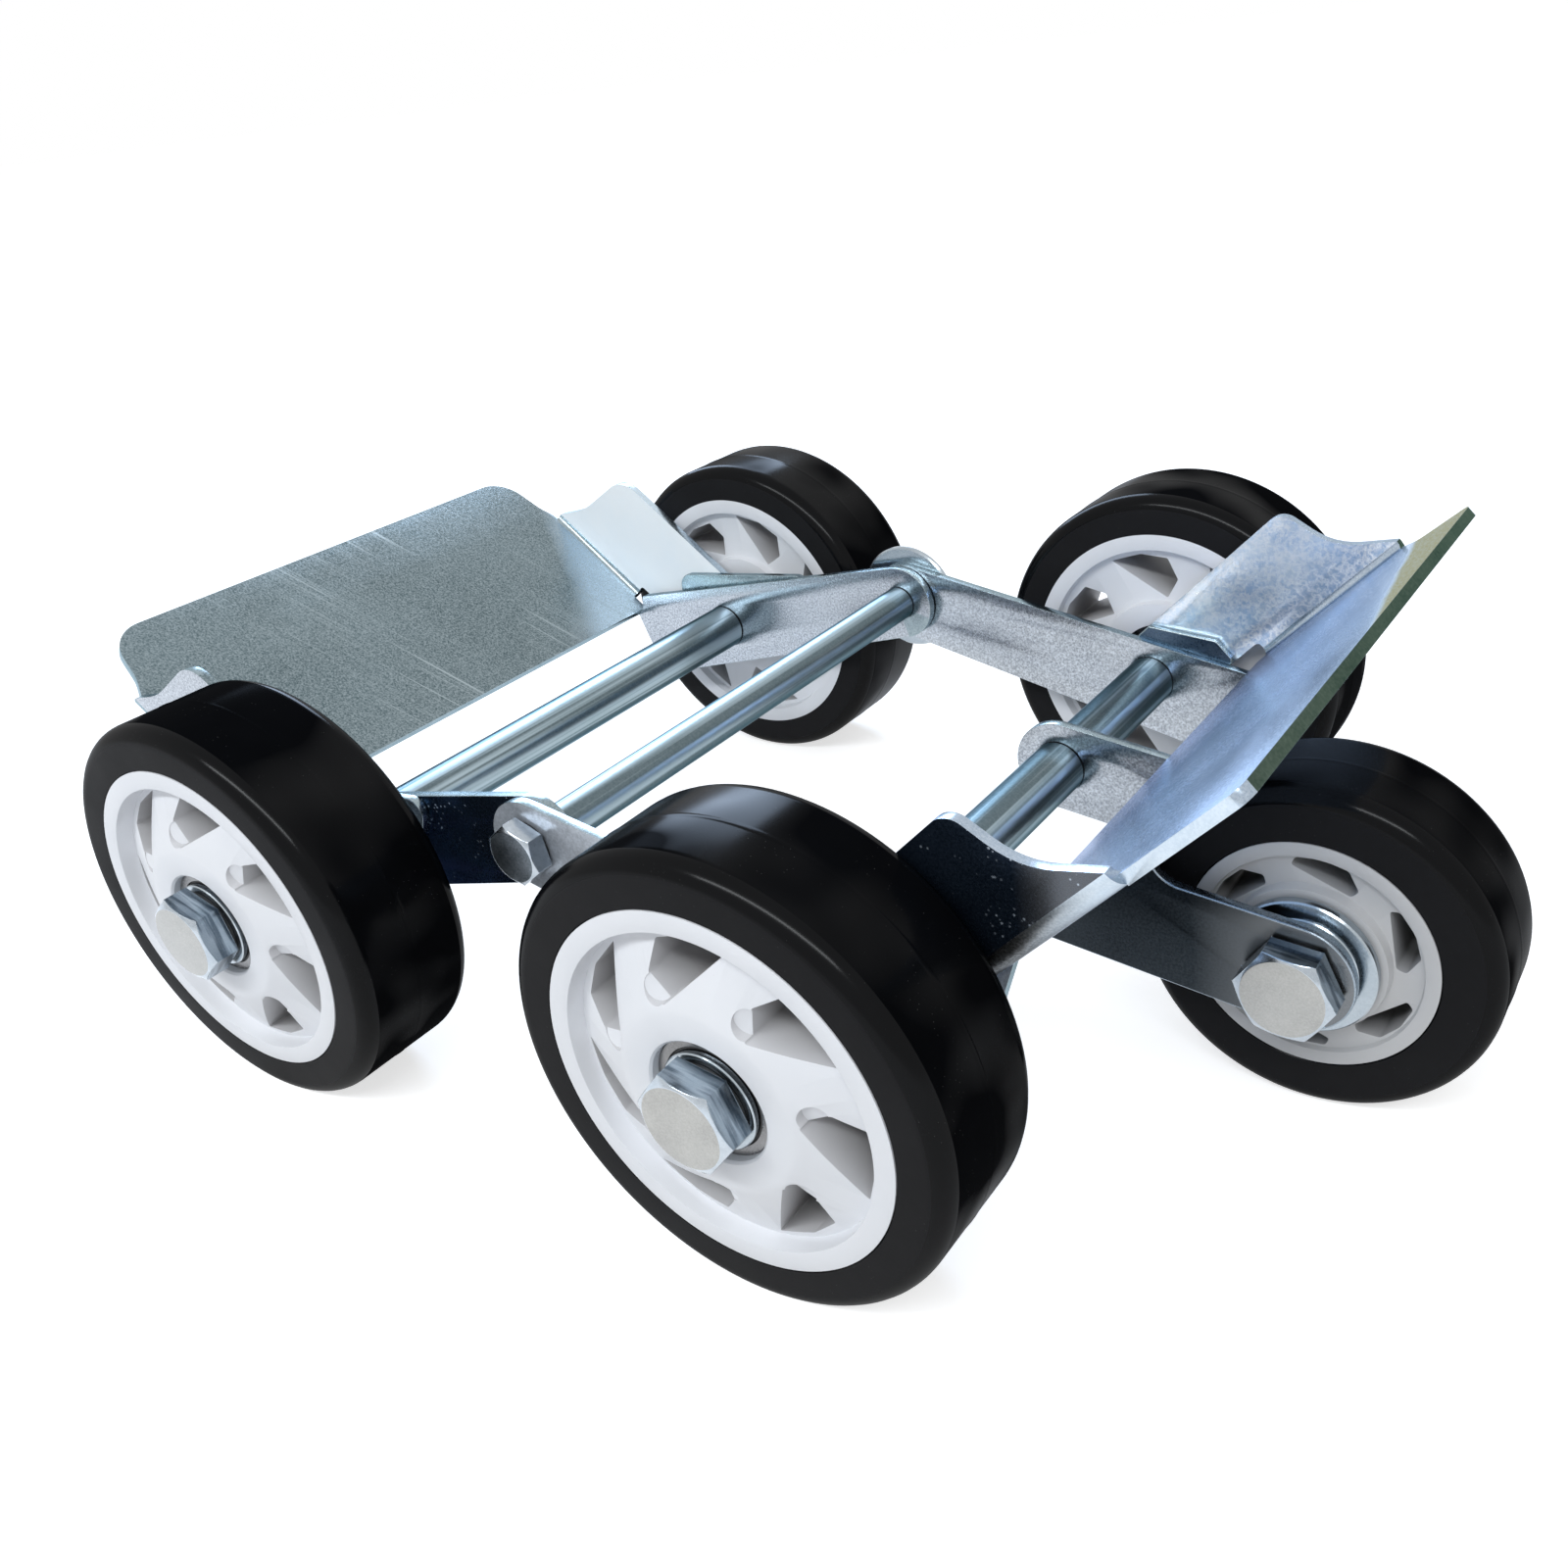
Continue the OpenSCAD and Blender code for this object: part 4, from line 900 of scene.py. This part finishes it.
# sheet steel, as clean copies of the nodes; what isn't named for the left half is the right one's
sheetParts = {
    "left_plate": {"slot": "zinc_plate", "finish": "leftPlateZinc", "slope": 39.2, "edge": "cutEdge",
                   "wing": "leftWingPaintedReflection", "outside": "linkZinc"},
    "right_plate": {"slot": "zinc_plate", "finish": "rightPlateZinc", "slope": -43.5, "wing": "wingZinc",
                    "edge": "rightEdgeZinc", "outside": "paintedShadeZinc", "rim": "brightEdge",
                    "fold": "foldZinc", "under": "underZinc"},
    "left_link_front": {"finish": "linkZinc", "outside": "paintedShadeZinc"},
    "left_link_back": {"finish": "linkZinc"},
    "right_link_front": {"finish": "pivotLinkZinc"},
    "right_link_back": {"finish": "linkZinc"},
    "left_packing": {"finish": "cutEdge"},
    "right_packing": {"finish": "packingPaintedShadeZinc"},
    "arm_front": {"finish": "armPaintedReflectionZinc", "rim": "armEdge"},
    "arm_back": {"finish": "linkZinc"},
}
sheetRules = {
    "edge": 0.00055, "segments": 3,
    "facing": 0.97,  # how straight a face has to look along a way
    "wide": 0.0005,  # least area of the side of a wing, link or arm
    "front": -0.11,  # faces past this Y belong to the front side
    "beside": -0.12,  # a plate's own end lies behind this Y
    "bend": (-0.15, 0.2),  # the fold beside a wing faces below these along Y and Z
}


def makeSheet(node, spec):
    piece = copyOf(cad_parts[node], node + "Fine")
    editAll(piece)
    weld(0.000003)
    bpy.ops.mesh.dissolve_limited(angle_limit=math.radians(0.5))
    backOut()
    plain, cut = spec["finish"], "cutEdge"
    wanted = [plain, spec.get("rim", cut), spec.get("wing", plain), spec.get("edge", cut),
              spec.get("outside", plain), spec.get("fold", cut), spec.get("under", plain)]
    paint(piece, *[finishes[name] for name in wanted])
    slope, facing = math.radians(spec.get("slope", 0)), sheetRules["facing"]
    front, bend = sheetRules["front"], sheetRules["bend"]
    up = Vector((math.sin(slope), 0, math.cos(slope)))
    out = Vector((math.cos(slope), 0, -math.sin(slope)))
    for face in piece.data.polygons:
        n = face.normal
        if abs(n.y) > facing and face.area > sheetRules["wide"]:
            # wings, links and arms; the front ones' outer sides take the outside finish, which on some
            # pieces is painted shade from the wheels
            face.material_index = 4 if n.y < 0 and face.center.y < front else 2
        elif "slope" in spec and abs(n.dot(up)) > facing:
            face.material_index = 0 if n.dot(up) > 0 else 6
        elif "slope" in spec and abs(n.dot(out)) > facing and face.center.y > sheetRules["beside"]:
            face.material_index = 3
        elif "fold" in spec and n.y < bend[0] and n.z < bend[1] and face.center.y < front:
            face.material_index = 5
        # on the insides of bends the edge finish is a painted highlight along the bend
        else:  # cut edges and the insides of bends
            face.material_index = 1
    soften(piece, sheetRules["edge"], sheetRules["segments"], 30, 1)
    body = "left_half" if node.startswith("left") else "right_half"
    bound(piece, body, [node])


for node, spec in sheetParts.items():
    makeSheet(node, spec)
print("sheet steel done")


# tubes; left, right, armBack and armFar are where they end along Y
tubeSizes = {"axle": 0.011, "axleBore": 0.0100, "pivot": 0.008, "pivotBore": 0.0070,
             "lip": 0.0005, "left": 0.119, "right": 0.1235, "armBack": 0.034, "armFar": 0.038}


def makeTube(name, kind, low, high):
    tube = sleeve(name, tubeSizes[kind], tubeSizes[kind + "Bore"], tubeSizes["lip"], low, high)
    paint(tube, finishes["tubeSteel"], finishes["darkJointAndPaintedShade"])
    for face in tube.data.polygons:
        if abs(face.normal.y) > 0.3:
            face.material_index = 1
    smooth(tube, 30)
    return tube


def standAt(piece, place):
    settle(piece, Matrix.Translation((place["x"], 0, place["z"])))


t = tubeSizes
leftTube = makeTube("leftAxleTubeFine", "axle", -t["left"], t["left"])
pivotTube = makeTube("pivotTubeFine", "pivot", -t["left"], t["left"])
rightTubes = joinPieces("rightAxleTubesFine", [
    makeTube("rightTubeLong", "axle", -t["right"], t["armBack"]),
    makeTube("rightTubeShort", "axle", t["armFar"], t["right"])])
for tube, place, body, node in ((leftTube, axles["wheel_1"], "left_half", "left_axle_tube"),
                                (pivotTube, pivot, "left_half", "pivot_tube"),
                                (rightTubes, axles["wheel_3"], "right_half", "right_axle_tubes")):
    standAt(tube, place)
    bound(tube, body, [node])
print("tubes done")


# bolts, nuts and washers; face, foot and under are parts of the width across flats
hexShape = {"face": 0.945, "foot": 0.055, "under": 0.045, "slope": 30, "spare": 0.002, "clear": 0.0004,
            "edge": 0.00025}


def makeHex(name, flats, near, far, turn, bore=0.0, bothEnds=False, face="boltFace", sides="boltSteel"):
    # six-sided bar from near to far along Y, its chamfer at the near end (and the far one for nuts)
    r, length = flats / 2 / math.cos(math.radians(30)), far - near + hexShape["spare"]
    head = barAlongY(name, 6, r, length, (0, (near + far) / 2, 0))
    faceR, clear = flats / 2 * hexShape["face"], r + hexShape["clear"]
    drop = (r - faceR) * math.tan(math.radians(hexShape["slope"])) + hexShape["clear"] / 2
    profile = [(0.0, near), (faceR, near), (clear, near + drop)]
    if bothEnds:
        profile += [(clear, far - drop), (faceR, far), (0.0, far)]
    else:
        foot = far - flats * hexShape["foot"]  # the thinner round foot that a bolt's head stands on
        profile += [(clear, foot), (faceR, foot), (faceR, far), (0.0, far)]
    if bore:
        profile[0], profile[-1] = (bore, near), (bore, far)
    carve(head, lathe("chamferTool", profile), "INTERSECT")
    editAll(head)
    bpy.ops.transform.rotate(value=math.radians(turn), orient_axis="Y", center_override=(0, 0, 0))
    backOut()
    paint(head, finishes[sides], finishes[face], finishes["boltBright"], finishes["darkJointAndPaintedShade"])
    soften(head, hexShape["edge"], 2, 25)
    smooth(head, 16)
    for side in head.data.polygons:
        # chamfers take the brighter steel as a painted highlight, and the round foot under a bolt's head is
        # painted near black, a painted shadow
        tilt, under = abs(side.normal.y), not bothEnds and side.center.y > far - flats * hexShape["under"]
        side.material_index = 3 if under else 1 if tilt > 0.97 else 2 if tilt > 0.3 else 0
    return head


threadShape = {"pitch": 0.0025, "finePitch": 0.002, "fineBelow": 0.008, "deep": 0.0009, "end": 0.0008,
               "point": (0.0012, 0.001), "steps": 64}


def makeShank(name, radius, low, high, threadFrom):
    # plain shank whose far end carries rings for its thread
    thread, place = threadShape, threadFrom
    profile = [(0.0, low), (radius, low), (radius, threadFrom)]
    pitch = thread["pitch"] if radius > thread["fineBelow"] else thread["finePitch"]
    while place + pitch < high - thread["end"]:
        profile += [(radius - thread["deep"], place + pitch * 0.5), (radius, place + pitch)]
        place += pitch
    inwards, back = thread["point"]
    profile += [(radius, high - back), (radius - inwards, high), (0.0, high)]
    shank = lathe(name, profile, thread["steps"])
    paint(shank, finishes["boltSteel"])
    smooth(shank, 25)
    return shank


def makeRing(name, sizes, low, high):
    ring = sleeve(name, sizes["outer"], sizes["bore"], sizes["soft"], low, high)
    paint(ring, finishes["washerSteel"])
    smooth(ring, 25)
    return ring


bigBolt = {"flats": 0.030, "shank": 0.0099}
axleBolt = {**bigBolt, "head": (-0.2015, -0.189), "end": 0.2015, "nut": (0.189, 0.199)}
boltSets = {
    "left_axle": {**axleBolt, "place": axles["wheel_1"], "body": "left_half", "turns": (12, 5)},
    "right_axle": {**axleBolt, "place": axles["wheel_3"], "body": "right_half", "turns": (20, 25)},
    "fifth": {**bigBolt, "place": axles["wheel_5"], "body": "right_half", "head": (-0.0565, -0.044),
              "end": 0.0505, "nut": (0.038, 0.048), "turns": (24, 10)},
    "pivot": {"place": pivot, "body": "right_half", "flats": 0.021, "head": (-0.1363, -0.1275),
              "end": 0.1458, "shank": 0.00695, "nut": (0.1305, 0.1433), "turns": (8, 14),
              "face": "pivotFace", "sides": "boltBright"},
}
for name, b in boltSets.items():
    head = makeHex(name + "Head", b["flats"], *b["head"], b["turns"][0],
                   face=b.get("face", "boltFace"), sides=b.get("sides", "boltSteel"))
    shank = makeShank(name + "Shank", b["shank"], b["head"][1] - 0.0001, b["end"], b["nut"][1] - 0.001)
    bolt = joinPieces(name + "BoltFine", [head, shank])
    nut = makeHex(name + "NutFine", b["flats"], *b["nut"], b["turns"][1], b["shank"], True)
    for piece, kind in ((bolt, "_bolt"), (nut, "_nut")):
        standAt(piece, b["place"])
        bound(piece, b["body"], [name + kind])

washer = {"outer": 0.017, "bore": 0.0101, "soft": 0.0004, "from": 0.1865, "to": 0.189}
for side, wheel in (("left", "wheel_1"), ("right", "wheel_3")):
    near, far = washer["from"], washer["to"]
    washers = joinPieces(side + "WashersFine", [makeRing("washerFront", washer, -far, -near),
                                                makeRing("washerBack", washer, near, far)])
    standAt(washers, axles[wheel])
    bound(washers, side + "_half", [side + "_washers"])
bigWasher = {"outer": 0.025, "bore": 0.0071, "soft": 0.0008, "from": 0.1275, "to": 0.1305}
pivotWasher = makeRing("pivotWasherFine", bigWasher, bigWasher["from"], bigWasher["to"])
standAt(pivotWasher, pivot)
bound(pivotWasher, "right_half", ["pivot_washer"])
# the stepped spacer before the fifth wheel, as [radius, place along Y]
flangeProfile = [
    (0.0101, -0.040), (0.0133, -0.040), (0.0133, -0.0397), (0.0180, -0.0397), (0.0186, -0.0391),
    (0.0186, -0.0378), (0.0190, -0.0374), (0.0244, -0.0374), (0.025, -0.0368),
    (0.025, -0.0340), (0.0244, -0.0334), (0.0133, -0.0334), (0.0133, -0.0324), (0.0101, -0.0324)]
flange = lathe("fifthFlangeFine", flangeProfile)
paint(flange, finishes["washerSteel"])
smooth(flange, 25)
standAt(flange, axles["wheel_5"])
bound(flange, "right_half", ["fifth_flange_spacer"])
print("fasteners done")

# hidden steel that stays as the frame has it
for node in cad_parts:
    if any(word in node for word in ("spacer", "inner_rings", "balls")):
        paint(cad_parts[node], finishes["bearingSteel"])


# stage, light and camera
def seenStraight(tree):
    # 1 where the camera, a mirror or glass looks, 0 where light only bounces
    path = tree.nodes.new("ShaderNodeLightPath")
    seen = mathNode(tree, "MAXIMUM", path.outputs["Is Camera Ray"], path.outputs["Is Glossy Ray"])
    return mathNode(tree, "MAXIMUM", seen, path.outputs["Is Transmission Ray"])


floorLook = {"size": 60, "below": 0.0002, "tone": (0.72, 0.72, 0.72, 1), "glow": 0.68}


def stageFloor():
    dropAll()
    bpy.ops.mesh.primitive_plane_add(size=floorLook["size"], location=(0, 0, -floorLook["below"]))
    floor = bpy.context.object
    floor.name = "floor"
    finish = bpy.data.materials.new("palePaper")
    finish.use_nodes = True
    tree = finish.node_tree
    tree.nodes.clear()
    out = tree.nodes.new("ShaderNodeOutputMaterial")
    paper = tree.nodes.new("ShaderNodeBsdfDiffuse")
    paper.inputs["Color"].default_value = floorLook["tone"]
    glow = tree.nodes.new("ShaderNodeEmission")
    tree.links.new(times(tree, seenStraight(tree), floorLook["glow"]), glow.inputs["Strength"])
    both = tree.nodes.new("ShaderNodeAddShader")
    tree.links.new(paper.outputs[0], both.inputs[0])
    tree.links.new(glow.outputs[0], both.inputs[1])
    tree.links.new(both.outputs[0], out.inputs["Surface"])
    paint(floor, finish)


def stageWorld(level):
    world = bpy.data.worlds.new("softRoom")
    bpy.context.scene.world = world
    world.use_nodes = True
    tree = world.node_tree
    back = tree.nodes["Background"]
    back.inputs["Color"].default_value = (1, 1, 1, 1)
    tree.links.new(rangeNode(tree, seenStraight(tree), 0.0, 1.0, level, 1.0), back.inputs["Strength"])


def areaLamp(name, lamp):
    dropAll()
    bpy.ops.object.light_add(type="AREA", location=lamp["place"])
    piece = bpy.context.object
    piece.name = name
    piece.data.shape = "RECTANGLE"
    piece.data.size, piece.data.size_y = lamp["size"]
    piece.data.energy = lamp["power"]
    piece.data.color = lamp["tone"]
    aim = (Vector(lamp["target"]) - Vector(lamp["place"])).to_track_quat("-Z", "Y").to_matrix()
    piece.rotation_euler = (aim @ Matrix.Rotation(math.radians(lamp["lean"]), 3, "Z")).to_euler()


roomLevel = 0.46
lamps = {
    "keyLamp": {"place": (0.2, -1.3, 1.5), "target": (0, 0, 0.1), "size": (2.2, 0.2), "power": 25,
                "tone": (0.93, 0.97, 1.0), "lean": 0},
    "backLamp": {"place": (-1.3, 1.2, 1.05), "target": (0, 0, 0.08), "size": (1.25, 0.6), "power": 31,
                 "tone": (0.60, 0.76, 1.0), "lean": -42},
}
stageFloor()
stageWorld(roomLevel)
for name, lamp in lamps.items():
    areaLamp(name, lamp)

# focal and centre are in the picture's own dots
cameraView = {"place": (0.34902, -0.41628, 0.34485), "target": (0.06106, 0.0, 0.08023),
              "roll": -6.84, "focal": 1460.38, "centre": (951.12, 804.16), "picture": 1600, "sensor": 36,
              "nearest": 0.02}
camData = bpy.data.cameras.new("photoCamera")
camera = bpy.data.objects.new("photoCamera", camData)
bpy.context.scene.collection.objects.link(camera)
ahead = (Vector(cameraView["target"]) - Vector(cameraView["place"])).normalized()
facing = ahead.to_track_quat("-Z", "Y").to_matrix().to_4x4()
camera.matrix_world = (Matrix.Translation(cameraView["place"]) @ facing
                       @ Matrix.Rotation(math.radians(cameraView["roll"]), 4, "Z"))
picture, centre = cameraView["picture"], cameraView["centre"]
camData.sensor_width = cameraView["sensor"]
camData.lens = cameraView["sensor"] * cameraView["focal"] / picture
camData.shift_x = -(centre[0] - picture / 2) / picture
camData.shift_y = (centre[1] - picture / 2) / picture
camData.clip_start = cameraView["nearest"]
bpy.context.scene.camera = camera
bpy.context.scene.view_settings.view_transform = "Standard"
print("stage and camera done")
